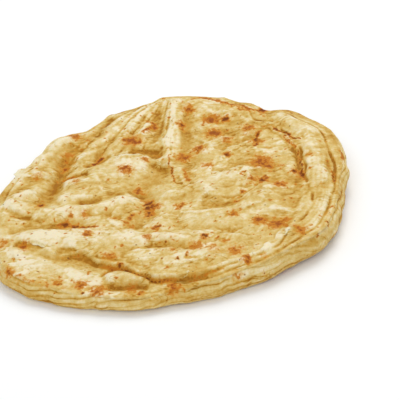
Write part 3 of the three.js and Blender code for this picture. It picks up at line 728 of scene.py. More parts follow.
SPOTS = [  # x, y, radius, toast, scorch
    (13.5, 79.5, 3.2, 0.9, 0), (9.5, 62.5, 2.6, 0.9, 0.4), (9, 57.5, 1.5, 0.9, 0.5), (26, 65, 4, 1, 0.2),
    (34, 63.5, 2.4, 1, 1), (27, 49, 4.2, 1, 0.3), (34, 40, 2.4, 0.9, 0.1), (18, 34, 3.2, 0.95, 0.2),
    (9, 28.5, 3.6, 0.95, 0), (47, 48, 3.2, 0.8, 0.1), (33.5, 24, 2.2, 0.9, 0.5),
    (21.5, 16, 2.6, 0.8, 0.1), (51.5, 12.5, 5.5, 0.88, 0.1), (55.5, 8, 3, 0.9, 0.2),
    (46, -4, 2.6, 0.7, 0.3), (51, -5.5, 2.4, 1, 0.9), (53, -4, 2.0, 1, 0.3), (60, -10.5, 3, 0.9, 0.2),
    (69, 0.5, 1.8, 1, 0.8), (73, 0, 1.8, 1, 0.6), (36, -22, 1.6, 0.9, 0.3), (33, -34.5, 2.4, 0.9, 0.4),
    (47, -43, 3, 1, 0.3), (51.5, -49, 2.2, 0.8, 0), (67.5, -54.5, 2.8, 0.8, 0.1), (17, -53, 1.7, 0.9, 1),
    (5.5, -19.5, 2.2, 0.9, 0.4), (-7.5, -39, 2.2, 0.9, 0.3), (-13, -48.5, 2, 0.7, 0.1),
    (-12.5, -23, 2, 0.9, 0.8), (-57, -26.8, 3.0, 1, 1), (-51, -28.5, 1.6, 1, 0.7),
    (-44.5, -31, 1.3, 0.9, 0.5), (-44.5, -40, 2.4, 0.9, 0), (-70.5, -8, 2.2, 1, 0.8),
    (-78, -45.5, 2.8, 0.9, 0), (-20.5, 50.5, 4, 1, 0.2), (-24, 20, 3.4, 0.9, 0), (-13, 28.5, 2, 0.7, 0),
    (-51, 9.5, 2, 0.7, 0.2), (-58, 31.5, 2.4, 0.9, 0.1), (13, -60.5, 3.4, 0.75, 0),
    (21.5, -65, 3, 0.6, 0), (32.5, -67, 3.2, 0.85, 0), (38.5, -75.5, 2.4, 0.85, 0.1),
    (47.5, -73.5, 1.8, 0.45, 0), (28, -57, 2, 0.6, 0.1), (-47.5, -80.5, 3, 0.9, 0),
    (-38.5, -85.5, 3.4, 0.9, 0), (-22.5, -86, 3, 0.8, 0), (-0.5, -88.5, 3, 0.85, 0),
    (-60.5, -76, 2.4, 0.7, 0), (-85.5, -65, 2.8, 0.8, 0), (-33, -61, 3.2, 0.75, 0),
    (-52.5, 61.5, 3.6, 0.8, 0), (0, -61.5, 1.6, 0.8, 0.3), (8, -69, 1.4, 0.6, 0.4),
    (32.5, -83.5, 2.4, 0.5, 0), (56, 68.5, 2.2, 1, 1), (-27, -68.5, 1.1, 0.9, 1), (78, 14, 2.2, 0.6, 0),
    (-12.6, -11.9, 2.0, 1, 1), (-10.4, -11.3, 1.8, 1, 1), (-11.8, -16.2, 2.2, 1, 1),
    (-12.5, -20.3, 1.7, 1, 0.9), (-8.8, -15.8, 2.6, 1, 0.6), (-14.8, -7.2, 1.6, 0.7, 0.2),
    (-14.2, 0.6, 1.4, 0.7, 0.3), (-17.5, 2.8, 2.2, 0.95, 0.3), (-20.3, -23.2, 1.7, 0.9, 0.5),
    (-22.5, -26.1, 1.5, 0.9, 0.5), (-24.1, -29.9, 1.5, 0.7, 0.4), (-22, -33.2, 1.3, 0.6, 0.1),
    (-30.5, -25, 1.6, 0.8, 0.2), (-45.5, -19.5, 2.6, 0.6, 0), (-54.5, -19.5, 1.4, 0.8, 0.4),
    (40, -13.5, 1.2, 0.9, 0.4), (50.8, 34.8, 3, 0.8, 0.3), (-89.7, -40.5, 3, 0.7, 0),
    (-17.2, -90.8, 1.6, 0.8, 0.4), (56.5, -46.6, 4, 1, 0.1), (73.1, -1.7, 2, 1, 0.8),
    (-56, 41.5, 4, 0.55, 0), (-73, 19.5, 2.6, 0.5, 0.1), (62, 8, 1.6, 0.5, 0.3), (83, -40.5, 1.6, 0.4, 0),
]
print("strokes:", len(GOLD_AND_SHADE_STROKES), "golden,", len(PALE), "pale,", len(TOAST_AND_SHADE_STROKES), "toasted")
print("spots:", len(SPOTS))

# %% [markdown]
# ## Where the bread is toasted and scorched, and where shade is painted
# The marks are drawn into soft fields and not as finished spots: the material later cuts them to ragged blots
# with fine noise. Every place takes the strongest mark that reaches it. A seeded scatter of freckles fills in
# between, and under the flap's edge a broken brown band and, at the front, a thin dark line are painted as
# shade.

# %% Toasted and scorched fields
SPOT_SPREAD = 1.38  # all spots are this much wider than their stated radius
SCORCH_WITHIN = 0.55  # share of a spot's radius that its scorched middle takes
STROKE_SCORCH_WITHIN = 0.7  # the same for a stroke's width
FRECKLES, FRECKLE_SEED, FRECKLES_WITHIN = 1100, 8, 98
# painted shade under the flap's edge: how brown its band is, and how dark its thin line
FLAP_SHADE_TOAST, SHADOW_LINE_DARKNESS = 0.65, 0.65
SHADOW_LINE_AT, SHADOW_LINE_SPREAD = 259, 14  # degrees


def stroke_field(marks, x, y):
    """Soft strokes: each mark is a half width, a strength and a curve."""
    field = np.zeros(x.shape)
    for half_width, strength, points in marks:
        curve = smooth_curve(points)
        here = near(curve, x, y, 2.5 * half_width)
        distance, share = measure_along(curve, x[here], y[here])
        field[here] = np.maximum(field[here], strength * bell(distance, half_width))
    return field


def freckles():
    rng = np.random.default_rng(FRECKLE_SEED)
    for _ in range(FRECKLES):
        sx, sy = rng.uniform(-FRECKLES_WITHIN, FRECKLES_WITHIN, 2)
        yield sx, sy, rng.uniform(0.4, 0.95), rng.uniform(0.4, 1.0), rng.uniform(-0.4, 1)


def toast_and_shade_fields(x, y):
    """How toasted and how scorched each point of the top is, both from 0 to about 1; a few strokes among them
    are painted shade.
    """
    toast_and_shade = stroke_field([(width, toasted, curve) for width, toasted, burnt, curve in TOAST_AND_SHADE_STROKES], x, y)
    narrow = [(STROKE_SCORCH_WITHIN * width, burnt, curve) for width, toasted, burnt, curve in TOAST_AND_SHADE_STROKES]
    scorch_and_shade = stroke_field(narrow, x, y)
    broad = [(sx, sy, SPOT_SPREAD * radius, toasted, burnt) for sx, sy, radius, toasted, burnt in SPOTS]
    for sx, sy, radius, toasted, burnt in [*broad, *freckles()]:
        reach = int(2.5 * radius / MAP_STEP) + 2
        i, j = (int((c + MAP_HALF) / MAP_STEP) for c in (sx, sy))
        here = np.s_[max(i - reach, 0) : i + reach, max(j - reach, 0) : j + reach]
        distance = np.hypot(x[here] - sx, y[here] - sy)
        toast_and_shade[here] = np.maximum(toast_and_shade[here], toasted * bell(distance, radius))
        scorch_and_shade[here] = np.maximum(scorch_and_shade[here], burnt * bell(distance, SCORCH_WITHIN * radius))
    return toast_and_shade, scorch_and_shade


daub_x = map_x + 1.3 * noise(map_x / 6, map_y / 6, 85) + 1.1 * noise(map_x / 2.2, map_y / 2.2, 86)
daub_y = map_y + 1.3 * noise(map_x / 6, map_y / 6, 87) + 1.1 * noise(map_x / 2.2, map_y / 2.2, 88)
toast_and_shade_map, scorch_and_shade_map = toast_and_shade_fields(daub_x, daub_y)  # both wander, so no spot is round
under_flap = smoothstep(flap_ledge, 1.4, 2.8) * bell(flap_inside + 1.4, 1.3)  # in the shade of its edge
patchy_edge = smoothstep(rim_noise(map_angle, 12, 89), -0.8, 0.1)
# a patchy brown band under the flap's edge: painted shade
toast_and_shade_map = np.maximum(toast_and_shade_map, FLAP_SHADE_TOAST * under_flap * patchy_edge)
# a thin dark line under the flap's edge at the front: painted shadow
shadow_line = bell(map_angle - SHADOW_LINE_AT, SHADOW_LINE_SPREAD) * bell(flap_inside + 1.2, 0.6)
scorch_and_shade_map = np.maximum(scorch_and_shade_map, SHADOW_LINE_DARKNESS * shadow_line * patchy_edge)
on_bread = map_share < 1
print("share of the top that is toasted:", round(float((toast_and_shade_map[on_bread] > 0.5).mean()), 3))

# %% [markdown]
# ## Where the bread is golden, and where shade is painted
# The golden field mostly follows the heights: a place is compared with the average of its surroundings, wide
# and close. The deeper it lies below the wide average, the more golden it is, which paints shade into the
# hollows; the close comparison gives the creases, which the material paints as shade. The golden strokes,
# mostly painted shade too, and the pale strokes come on top, then mottling, the fine lines, and a tone for
# each bared leaf. The east side, the flap's lip, the band under its edge and the grooves between the strands
# are darkened as painted shade. Last, the field is bent over gently at its upper end, so that no part is as
# dark as the toasted spots.

# %% Golden field
PLAIN_GOLD = 0.4
DIP_WITHIN, CREASE_WITHIN = 6.0, 1.0  # mm, the surroundings that a place is compared with
GOLD_PER_MM = 0.16  # of depth below the wider surroundings: painted shade in the hollows
MOST_RAISED, MOST_SUNK = 2.0, 2.5  # mm, counted at most
GOLD_AND_SHADE_STROKE, PALE_STROKE, PALE_STRAND = 0.33, 0.32, 0.22
EAST_SHADE = 0.1  # the east side is painted darker, as shade
MOTTLE, FINE_MOTTLE, STREAK_TONE = 0.26, 0.12, 0.06
LEAF_TONE, STRAND_TONE = 0.12, 0.14
SHADE_GOLD, FLAP_LIP_SHADE = 0.6, 0.2  # painted shade under the flap's edge, and on its lip
MOST_GOLDEN = 0.95

dip_map = softened(top_map, DIP_WITHIN) - top_map
crease_map = softened(top_map, CREASE_WITHIN) - top_map
# on the flap's lip a raised place is kept from going pale: painted shade
counted = np.clip(dip_map, 1.9 * near_flap_edge - MOST_RAISED, MOST_SUNK)
gold_map = PLAIN_GOLD + GOLD_PER_MM * counted + GOLD_AND_SHADE_STROKE * stroke_field(GOLD_AND_SHADE_STROKES, bent_x, bent_y)
pale_map = stroke_field(PALE, bent_x, bent_y)
gold_map -= PALE_STROKE * pale_map + PALE_STRAND * gather_map
mottled = MOTTLE * rough_noise(map_x / 18, map_y / 14, 71, octaves=4)
mottled += FINE_MOTTLE * noise(map_x / 3.5, map_y / 2.5, 77) - STREAK_TONE * streak_map
gold_map += (1 - 0.5 * calm_map) * (1 - 0.5 * ring_map) * (1 - 0.5 * pale_map) * mottled
gold_map += LEAF_TONE * leaf_patches * np.sin(2.3 * leaf_level)
gold_map += EAST_SHADE * smoothstep(map_x, -20, 60)
# painted shade in the band under the flap's edge and on its lip
gold_map += SHADE_GOLD * under_flap + FLAP_LIP_SHADE * near_flap_edge
# painted shade in the grooves between the strands of the lower turn
between_strands = 0.3 - strand_height(map_radius, map_angle)
gold_map += STRAND_TONE * stranded(map_angle) * smoothstep(-flap_inside, 0, 2) * between_strands
gold_map = MOST_GOLDEN * np.tanh(gold_map / MOST_GOLDEN)
print("deepest hollow", round(dip_map.max(), 1), "mm, deepest crease", round(crease_map.max(), 1), "mm")
print("golden share, middle and spread:", *np.round([np.median(gold_map), gold_map.std()], 2))

# %% [markdown]
# ## From arrays to a mesh
# A piece starts as a plain Blender primitive with the right number of faces. Its corners are then moved, as
# dough is, to where the functions above put them, and the fields are stored on the corners as attributes
# that the material reads by name.


# %% Piece maker
FULL_CREASE = 0.3  # mm of depth that counts as a full crease, painted with full shade
RAISED_EDGE_HIGHLIGHT = 0.3  # share of a crease's painted shade that a raised edge takes away at most, as painted highlight


def make_piece(name, blank, place):
    """A mesh object from a bmesh blank. place turns the blank's corners into positions in mm and fields."""
    mesh = bpy.data.meshes.new(name)
    blank.to_mesh(mesh)
    blank.free()
    corners = np.zeros(len(mesh.vertices) * 3)
    mesh.vertices.foreach_get("co", corners)
    positions, fields = place(corners.reshape(-1, 3))
    positions = (positions - [*MIDDLE, 0]) * MM
    mesh.vertices.foreach_set("co", positions.ravel())
    for field, values in fields.items():
        attribute = mesh.attributes.new(field, "FLOAT", "POINT")
        attribute.data.foreach_set("value", np.ascontiguousarray(values, np.float32))
    mesh.update()
    mesh.shade_smooth()
    piece = bpy.data.objects.new(name, mesh)
    bpy.context.scene.collection.objects.link(piece)
    triangles = sum(len(p.vertices) - 2 for p in mesh.polygons)
    print(f"{name}: {len(mesh.vertices)} corners, {triangles} triangles, {np.ptp(positions, axis=0) / MM} mm")
    return piece


def top_fields(x, y):
    """The fields of a point that lies open on the top of the bread."""
    return {
        # gold: from pale to deep golden, deeper in hollows and under the flap's edge, where it is painted
        # shade
        "gold": read_map(gold_map, x, y),
        # crease: painted shade in creases and painted highlight on raised edges, by depth below the close
        # surroundings
        "crease": np.clip(read_map(crease_map, x, y) / FULL_CREASE, -RAISED_EDGE_HIGHLIGHT, 1),
        # the toasted and scorched fields also carry strokes and lines of painted shade
        "toast_and_shade": read_map(toast_and_shade_map, x, y),
        "scorch_and_shade": read_map(scorch_and_shade_map, x, y),
    }


print("fields of a piece:", ", ".join(top_fields(np.zeros(1), np.zeros(1))))

# %% [markdown]
# ## The skin
# The skin is a square grid pulled into a disc: each square ring of the grid becomes a ring of the disc, so
# the faces keep one size from the middle to the edge, which a disc of spokes can't do. Its border is then
# extruded ring by ring, to roll the edge over and in underneath, and the last ring is merged to one point,
# so the skin is a closed body.

# %% Skin
SKIN_CELLS = 288
EDGE_ROLL = [  # out, down, in mm: the rolled edge, then in under the skin
    (0.3, 0.15), (0.6, 0.4), (0.8, 0.7), (0.8, 1.0), (0.5, 1.2), (-0.5, 1.3), (-2.0, 1.4), (-5, 1.8),
]
IN_UNDERNEATH = (-9, 0)
FLOOR_LEVEL = 2.2  # mm above the table, where the skin closes underneath, out of sight
BORDER_STEP = 0.1  # each extruded border ring of the blank lies this much further out
POLE_BELOW = -1  # level of the blank's closing point, which tells it from the grid
TUCKED_RINGS, TUCKED_GOLD = 5, 0.9  # beyond this ring of the border the skin is tucked in and deep golden


def skin_blank():
    blank = bmesh.new()
    bmesh.ops.create_grid(blank, x_segments=SKIN_CELLS, y_segments=SKIN_CELLS, size=1)
    border = [edge for edge in blank.edges if edge.is_boundary]
    for ring in range(1, len(EDGE_ROLL) + 3):
        made = bmesh.ops.extrude_edge_only(blank, edges=border)["geom"]
        border = [part for part in made if isinstance(part, bmesh.types.BMEdge)]
        corners = [part for part in made if isinstance(part, bmesh.types.BMVert)]
        grow = (1 + ring * BORDER_STEP) / (1 + (ring - 1) * BORDER_STEP)
        bmesh.ops.scale(blank, vec=(grow, grow, 1), verts=corners)
    bmesh.ops.pointmerge(blank, verts=corners, merge_co=(0, 0, POLE_BELOW))
    bmesh.ops.recalc_face_normals(blank, faces=blank.faces)
    return blank


def disc_from_square(east, north):
    """The ring and angle on a disc of a point on a square grid."""
    ring = np.maximum(np.abs(east), np.abs(north))
    safe = np.where(ring > 0, ring, 1)
    sideways = np.abs(east) >= np.abs(north)
    on_side = 45 * north / np.where(sideways & (ring > 0), east, safe) + np.where(east > 0, 0, 180)
    on_end = np.where(north > 0, 90, 270) - 45 * east / np.where(sideways, safe, north)
    return ring, np.where(sideways, on_side, on_end) % 360


def place_skin(corners):
    ring, angle = disc_from_square(corners[:, 0], corners[:, 1])
    edge = skin_radius(angle)
    cos, sin = np.cos(np.radians(angle)), np.sin(np.radians(angle))
    rolled = np.rint((ring - 1) / BORDER_STEP).astype(int).clip(0, len(EDGE_ROLL) + 1)
    roll = np.array([(0, 0), *EDGE_ROLL, IN_UNDERNEATH])[rolled]
    radius = np.where(ring <= 1, ring * edge, edge + roll[:, 0])
    rest_on = np.minimum(radius, edge)
    height = read_map(top_map, rest_on * cos, rest_on * sin) - roll[:, 1]
    pole = corners[:, 2] < POLE_BELOW / 2
    radius = np.where(pole, 0, radius)
    height = np.where(pole | (rolled > len(EDGE_ROLL)), FLOOR_LEVEL, height)
    x, y = radius * cos, radius * sin
    fields = top_fields(x, y)
    fields["gold"] = np.where(rolled > TUCKED_RINGS, TUCKED_GOLD, fields["gold"])
    fields["crease"] = np.where(rolled > 0, 0, fields["crease"])
    return np.column_stack([x, y, height]), fields


skin = make_piece("skin", skin_blank(), place_skin)

# %% [markdown]
# ## The coil under the skin
# The coil starts as a ball: its lowest point becomes the middle of the underside, its girdle the rim, and
# its highest point ends up hidden under the skin. Each meridian takes the cross-section at its angle: the
# flat underside, the foot, the rounded wall, and the part that runs in under the skin. Last, the wall is
# grooved: thin layers run round the rim as strands, which drift, join and part along a noise field.

# %% Cross-sections of the coil
SECTORS = 680
UNDERSIDE_RINGS, WALL_RINGS = 31, 60
FLAT_SHARE = 0.7  # of the radius: the underside lies flat on the table out to here
CURL_AT, CURL_RISE = 20, 4.0  # the side, in degrees, that curls up from the table, and by how many mm
RIM_INSET = 1.0  # mm, leaves room for the layers to stand out
RIM_ROUND = 5.0  # mm that the wall bulges out beyond its crest
RIM_SWING = (-60, 82)  # the bulge goes through these degrees from the foot to the crest
RIM_BELOW_SKIN = 0.25  # mm from the crest up to the skin
FOOT_INSET = 3.5  # mm that the foot lies inside the rim
UNDER_SKIN_STEPS = (1, 2, 3.5, 5, 7, 9, 12)  # mm in from the crest
UNDER_SKIN = 1.2  # mm that the hidden part of the coil stays below the skin
UNDER_SKIN_LEVEL = 1.4  # mm above the table, where the coil closes under the skin
LAYER_PITCH = 3.8  # mm along the wall from one groove to the next
GROOVE_DEPTH, FINE_GROOVE_DEPTH = 0.36, 0.09  # mm
SOFTENING_PASSES = 3

sector_angle = np.arange(SECTORS) * 360 / SECTORS
sector_cos, sector_sin = np.cos(np.radians(sector_angle)), np.sin(np.radians(sector_angle))


def underside_height(share):
    curl = CURL_RISE * np.maximum(0, np.cos(np.radians(sector_angle - CURL_AT))) ** 1.5
    waves = 0.5 * (1 + np.sin(np.radians(7 * sector_angle + 60)))
    return smoothstep(share, FLAT_SHARE, 1) * (curl + waves)


def coil_sections():
    """Radius, height and groove depth of every ring, from the middle of the underside to under the skin."""
    rim = rim_radius(sector_angle) - RIM_INSET
    rim += 0.7 * rim_noise(sector_angle, 9, 57) + 0.3 * rim_noise(sector_angle, 4, 58)
    crest_out = rim - RIM_ROUND
    crest_x, crest_y = crest_out * sector_cos, crest_out * sector_sin
    crest = read_map(softened(top_map, 1.5), crest_x, crest_y) - RIM_BELOW_SKIN
    rings = []

    def ring(radius, height, groove=0.0):
        rings.append([np.broadcast_to(v, SECTORS) for v in (radius, height, groove)])

    for share in np.linspace(0, 0.9, UNDERSIDE_RINGS):
        ring(rim * share, underside_height(share))
    ring(rim - FOOT_INSET - 1.5, underside_height(0.96))
    foot = underside_height(1)
    for up in np.linspace(0, 1, WALL_RINGS):
        round_out = RIM_ROUND * math.cos(math.radians(lerp(*RIM_SWING, up)))
        ring(crest_out + round_out, lerp(foot, crest, up), min(1, 4 * up))
    for inward in UNDER_SKIN_STEPS:
        radius = crest_out - inward
        below_skin = read_map(top_map, radius * sector_cos, radius * sector_sin) - UNDER_SKIN
        sinking = lerp(crest, below_skin, min(1, inward / 5))
        ring(radius, np.minimum(sinking, below_skin), max(0, 1 - inward / 3))
    hidden_edge = crest_out - UNDER_SKIN_STEPS[-1]
    for share in (0.97, 0.7, 0.4, 0):
        ring(hidden_edge * share, UNDER_SKIN_LEVEL)
    return (np.array(part) for part in zip(*rings))


def grooves(radius, height, depth):
    """How far each point stands out of the layered wall, and its strand: 0 in a groove, 1 on a layer."""
    steps_out = np.diff(radius, axis=0, prepend=radius[:1])
    steps_up = np.diff(height, axis=0, prepend=height[:1])
    across = np.cumsum(np.hypot(steps_out, steps_up), axis=0)
    drift = 1.7 * rim_noise(sector_angle, 55, 51, across / 14)
    drift += 0.4 * rim_noise(sector_angle, 22, 52, across / 8)
    phase = across / LAYER_PITCH + drift
    strand = np.abs(np.sin(np.pi * phase)) ** 0.5
    fine = np.abs(np.sin(np.pi * (2.7 * phase + 0.6 * rim_noise(sector_angle, 30, 54, across / 6)))) ** 0.7
    parted = 0.2 + 0.8 * smoothstep(rim_noise(sector_angle, 32, 55, across / 5), -0.3, 0.5)
    out = GROOVE_DEPTH * parted * (strand - 0.75) + FINE_GROOVE_DEPTH * (fine - 0.6)
    return depth * out, lerp(1, strand, parted)


coil_radius, coil_height, groove_depth = coil_sections()
for _ in range(SOFTENING_PASSES):
    for values in (coil_radius, coil_height, groove_depth):
        values[1:-1] = (values[:-2] + 2 * values[1:-1] + values[2:]) / 4
stand_out, strand = grooves(coil_radius, coil_height, groove_depth)
along_r, along_h = np.gradient(coil_radius, axis=0), np.gradient(coil_height, axis=0)
length = np.maximum(np.hypot(along_r, along_h), 1e-6)
coil_radius += stand_out * along_h / length
coil_height -= stand_out * along_r / length
print("coil sections:", coil_radius.shape, "rim stands", np.round(coil_height.max(), 1), "mm high")

# %% [markdown]
# ## Moving the ball's corners
# A corner of the ball knows its ring from its height and its sector from its direction, so it can look up
# where it goes. The wall has colours of its own: its grooves are darkened as painted shade, its raised layers
# lightened as painted highlight, and it grows more golden towards the table. The underside has the broad
# brown patches that a flat pan leaves.

# %% Coil
WALL_TO_LOW = (9, 3)  # mm above the table, between which the wall loses the toast of the top
UNDERSIDE_TOAST = 0.8
FULL_GROOVE = 0.4  # mm of depth that counts as a full crease, painted with full shade
RAISED_LAYER_HIGHLIGHT = 0.5  # share of a crease's painted shade that a raised layer takes away at most, as painted highlight


def coil_blank():
    blank = bmesh.new()
    bmesh.ops.create_uvsphere(blank, u_segments=SECTORS, v_segments=len(coil_radius) - 1, radius=1)
    return blank


def place_coil(corners):
    last = len(coil_radius) - 1
    ring = np.rint(np.arccos(np.clip(-corners[:, 2], -1, 1)) / np.pi * last).astype(int)
    angle = np.degrees(np.arctan2(corners[:, 1], corners[:, 0]))
    sector = np.rint(angle / 360 * SECTORS).astype(int) % SECTORS
    radius, height = coil_radius[ring, sector], coil_height[ring, sector]
    x, y = radius * sector_cos[sector], radius * sector_sin[sector]
    fields = top_fields(x, y)
    layered, groove = groove_depth[ring, sector], 1 - strand[ring, sector]
    low = smoothstep(height, *WALL_TO_LOW)
    below = ring < UNDERSIDE_RINGS + 3  # the underside and the foot
    browned = np.clip(1.6 * rough_noise(x / 17, y / 17, 61, octaves=2) - 0.1, 0, 1)
    pan_gold = 0.55 + 0.3 * rough_noise(x / 30, y / 30, 63, octaves=2)
    # the wall's gold: painted shade in the grooves, a tone that wanders round the rim, and more golden
    # towards the table
    wall_gold = 0.4 + 0.35 * groove + 0.35 * rim_noise(sector_angle[sector], 40, 62, height / 3) + 0.2 * low
    fields["gold"] = np.where(below, pan_gold, lerp(fields["gold"], wall_gold, layered))
    # grooves take painted shade and raised layers painted highlight, through the crease field
    groove_shade = np.clip(-stand_out[ring, sector] / FULL_GROOVE, -RAISED_LAYER_HIGHLIGHT, 1)
    fields["crease"] = groove_shade * layered * ~below
    fields["toast_and_shade"] = np.where(below, UNDERSIDE_TOAST * browned, fields["toast_and_shade"] * (1 - low))
    fields["scorch_and_shade"] = np.where(below, np.clip(browned - 0.7, 0, 1), fields["scorch_and_shade"] * (1 - low))
    return np.column_stack([x, y, np.maximum(height, 0)]), fields


coil = make_piece("coil", coil_blank(), place_coil)

# %% [markdown]
# ## Flakes
# Here and there a leaf of dough has come loose along an edge and stands a little off the skin. A height map
# can't show that, so each flake is a small grid drawn out between two curves, one buried in the skin and one
# free, and a Solidify modifier gives it the thickness of a leaf or two. All flakes are one piece.

# %% Flakes
FLAKES = [  # buried curve, free curve, lift of the free edge in mm
    ([(62.5, 41), (66.5, 31), (68.5, 22)], [(65.5, 42.5), (69.5, 33), (71.5, 22)], 0.3),
    ([(56, -58.5), (58, -55), (60, -51)], [(59.5, -60.5), (61, -56.5), (63.5, -52.5)], 0.6),
    ([(2, -81), (4, -79.5), (6.5, -77.5)], [(4.5, -84), (7, -82), (9.5, -79.5)], 0.5),
    ([(-33, 28.5), (-23, 32), (-11, 30.5)], [(-32, 33), (-22, 36.5), (-8, 34)], 0.3),
    ([(-83, -37.5), (-74, -40.5), (-65, -47)], [(-82, -41.5), (-73.6, -44.8), (-64.8, -51.5)], 0.3),
    ([(-82, 19), (-80, 24), (-76, 29)], [(-87, 21), (-85.5, 25.5), (-80.5, 31)], 0.5),
]
FLAKE_ALONG, FLAKE_ACROSS = 70, 12  # faces of a flake's grid
FLAKE_THICKNESS = 0.25  # mm
FLAKE_BURIED, FLAKE_RISE = 0.45, 0.28  # mm that it starts below the skin, and rises without its lift
FLAKE_GOLD = 0.8  # share of the skin's gold, as a loose leaf is drier
FLAKE_EDGE_PALE = 0.8
FLAKE_ENDS = 0.4  # share of the reach that is left at both ends


def flake_blank():
    blank = bmesh.new()
    for _ in FLAKES:
        bmesh.ops.create_grid(blank, x_segments=FLAKE_ALONG, y_segments=FLAKE_ACROSS, size=0.5)
    return blank


def curve_point(points, share):
    curve = smooth_curve(points)
    at = np.linspace(0, 1, len(curve))
    return np.interp(share, at, curve[:, 0]), np.interp(share, at, curve[:, 1])


def place_flakes(corners):
    positions, fields = [], []
    for i, (grid, (buried, free, lift)) in enumerate(zip(np.split(corners, len(FLAKES)), FLAKES)):
        u, v = grid[:, 0] + 0.5, grid[:, 1] + 0.5
        (ax, ay), (bx, by) = curve_point(buried, u), curve_point(free, u)
        ends = smoothstep(u, 0, 0.3) * (1 - smoothstep(u, 0.7, 1))
        ragged = 1 + 0.2 * noise(u * 5, v * 0, 110 + i) + 0.06 * noise(u * 17, v * 0, 120 + i)
        reach = v * lerp(FLAKE_ENDS, ragged, ends)
        x, y = lerp(ax, bx, reach), lerp(ay, by, reach)
        raised = ends * smoothstep(v, 0.0, 0.7) * (FLAKE_RISE + lift * v**2)
        positions.append(np.column_stack([x, y, read_map(softened_map, x, y) - FLAKE_BURIED + raised]))
        own = top_fields(x, y)
        own["gold"] = own["gold"] * FLAKE_GOLD
        own["crease"] = -FLAKE_EDGE_PALE * smoothstep(v, 0.6, 1) * ends
        fields.append(own)
    return np.vstack(positions), {name: np.concatenate([f[name] for f in fields]) for name in fields[0]}


softened_map = softened(top_map, 0.8)
flakes = make_piece("flakes", flake_blank(), place_flakes)
thickness = flakes.modifiers.new("thickness", "SOLIDIFY")
thickness.thickness, thickness.offset = FLAKE_THICKNESS * MM, 0

# %% [markdown]
# ## Building node trees
# The material is a tree of nodes. These helpers add one node each and return its output, so that a tree
# reads like a sum. An input is given as a value or as another node's output, which is then linked.


# %% Node helpers
def feed(tree, socket, value):
    if isinstance(value, bpy.types.NodeSocket):
        tree.links.new(value, socket)
    else:
        socket.default_value = value


def add(tree, kind, settings=(), **inputs):
    """Adds a node. Inputs are given by socket name with _ for a space, or by number as i0, i1."""
    node = tree.nodes.new("ShaderNode" + kind)
    for setting, value in dict(settings).items():
        setattr(node, setting, value)
    for label, value in inputs.items():
        key = int(label[1:]) if label[0] == "i" and label[1:].isdigit() else label.replace("_", " ")
        feed(tree, node.inputs[key], value)
    return node


def math_node(tree, operation, *values):
    node = add(tree, "Math", {"operation": operation}, **{f"i{i}": value for i, value in enumerate(values)})
    return node.outputs[0]


def mix_colour(tree, factor, a, b):
    return add(tree, "Mix", {"data_type": "RGBA"}, i0=factor, i6=a, i7=b).outputs[2]


def map_range(tree, value, low, high, to_low=0.0, to_high=1.0):
    settings = {"interpolation_type": "SMOOTHSTEP"}
    node = add(tree, "MapRange", settings, i0=value, i1=low, i2=high, i3=to_low, i4=to_high)
    return node.outputs[0]


def new_group(name, output, **inputs):
    """A node group of numbers: the group, its inputs, and its one output, to be linked."""
    group = bpy.data.node_groups.new(name, "ShaderNodeTree")
    for label, default in inputs.items():
        socket = group.interface.new_socket(label, in_out="INPUT", socket_type="NodeSocketFloat")
        socket.default_value = default
    group.interface.new_socket(output, in_out="OUTPUT", socket_type="NodeSocketFloat")
    given = group.nodes.new("NodeGroupInput").outputs
    return group, given, group.nodes.new("NodeGroupOutput").inputs[output]


def use_group(tree, group, **inputs):
    node = tree.nodes.new("ShaderNodeGroup")
    node.node_tree = group
    for label, value in inputs.items():
        feed(tree, node.inputs[label], value)
    return node.outputs[0]


def place_and_scale(group, given):
    """The piece's own coordinates, and the scale at which a texture has details of the given size."""
    return add(group, "TexCoord").outputs["Object"], math_node(group, "DIVIDE", 1.0, given["Size"])


print("node helpers:", ", ".join(f.__name__ for f in (add, math_node, mix_colour, map_range, use_group)))

# %% [markdown]
# ## Effects that any material can use
# Four effects are node groups, so that another material can use them with its own values: the ragged blot,
# the mottling, the wrinkles and the specks. They give masks and values only, and all sizes are in metres.

# %% Shared effects
BLOT_SOFTNESS = 0.14
WRINKLE_STRETCH = (0.4, 1, 1)  # along the grain, then across it
WRINKLE_PATCHES = (0.45, 0.65)  # values of noise between which the wrinkles appear
DOT_EDGE = (0.28, 0.12)  # how far from a cell's middle, in cells, a dot ends and is full
DOT_STRENGTH = 0.8


def ragged_blot_group():
    """Cuts a soft field to a blot with a ragged border."""
    group, given, result = new_group("ragged blot", "Blot", Field=0.5, Size=0.002, Raggedness=0.5, Level=0.5)
    place, scale = place_and_scale(group, given)
    field = add(group, "TexNoise", Vector=place, Scale=scale, Detail=4.0, Roughness=0.6).outputs[0]
    shifted = math_node(group, "MULTIPLY", math_node(group, "SUBTRACT", field, 0.5), given["Raggedness"])
    raised = math_node(group, "ADD", given["Field"], shifted)
    low = math_node(group, "SUBTRACT", given["Level"], BLOT_SOFTNESS)
    high = math_node(group, "ADD", given["Level"], BLOT_SOFTNESS)
    group.links.new(map_range(group, raised, low, high), result)
    return group


def mottle_group():
    """A soft patchy value about a middle of zero."""
    group, given, result = new_group("mottle", "Value", Size=0.01, Strength=1.0)
    place, scale = place_and_scale(group, given)
    field = add(group, "TexNoise", Vector=place, Scale=scale, Detail=3.0, Roughness=0.55).outputs[0]
    middle = math_node(group, "SUBTRACT", field, 0.5)
    group.links.new(math_node(group, "MULTIPLY", middle, given["Strength"]), result)
    return group


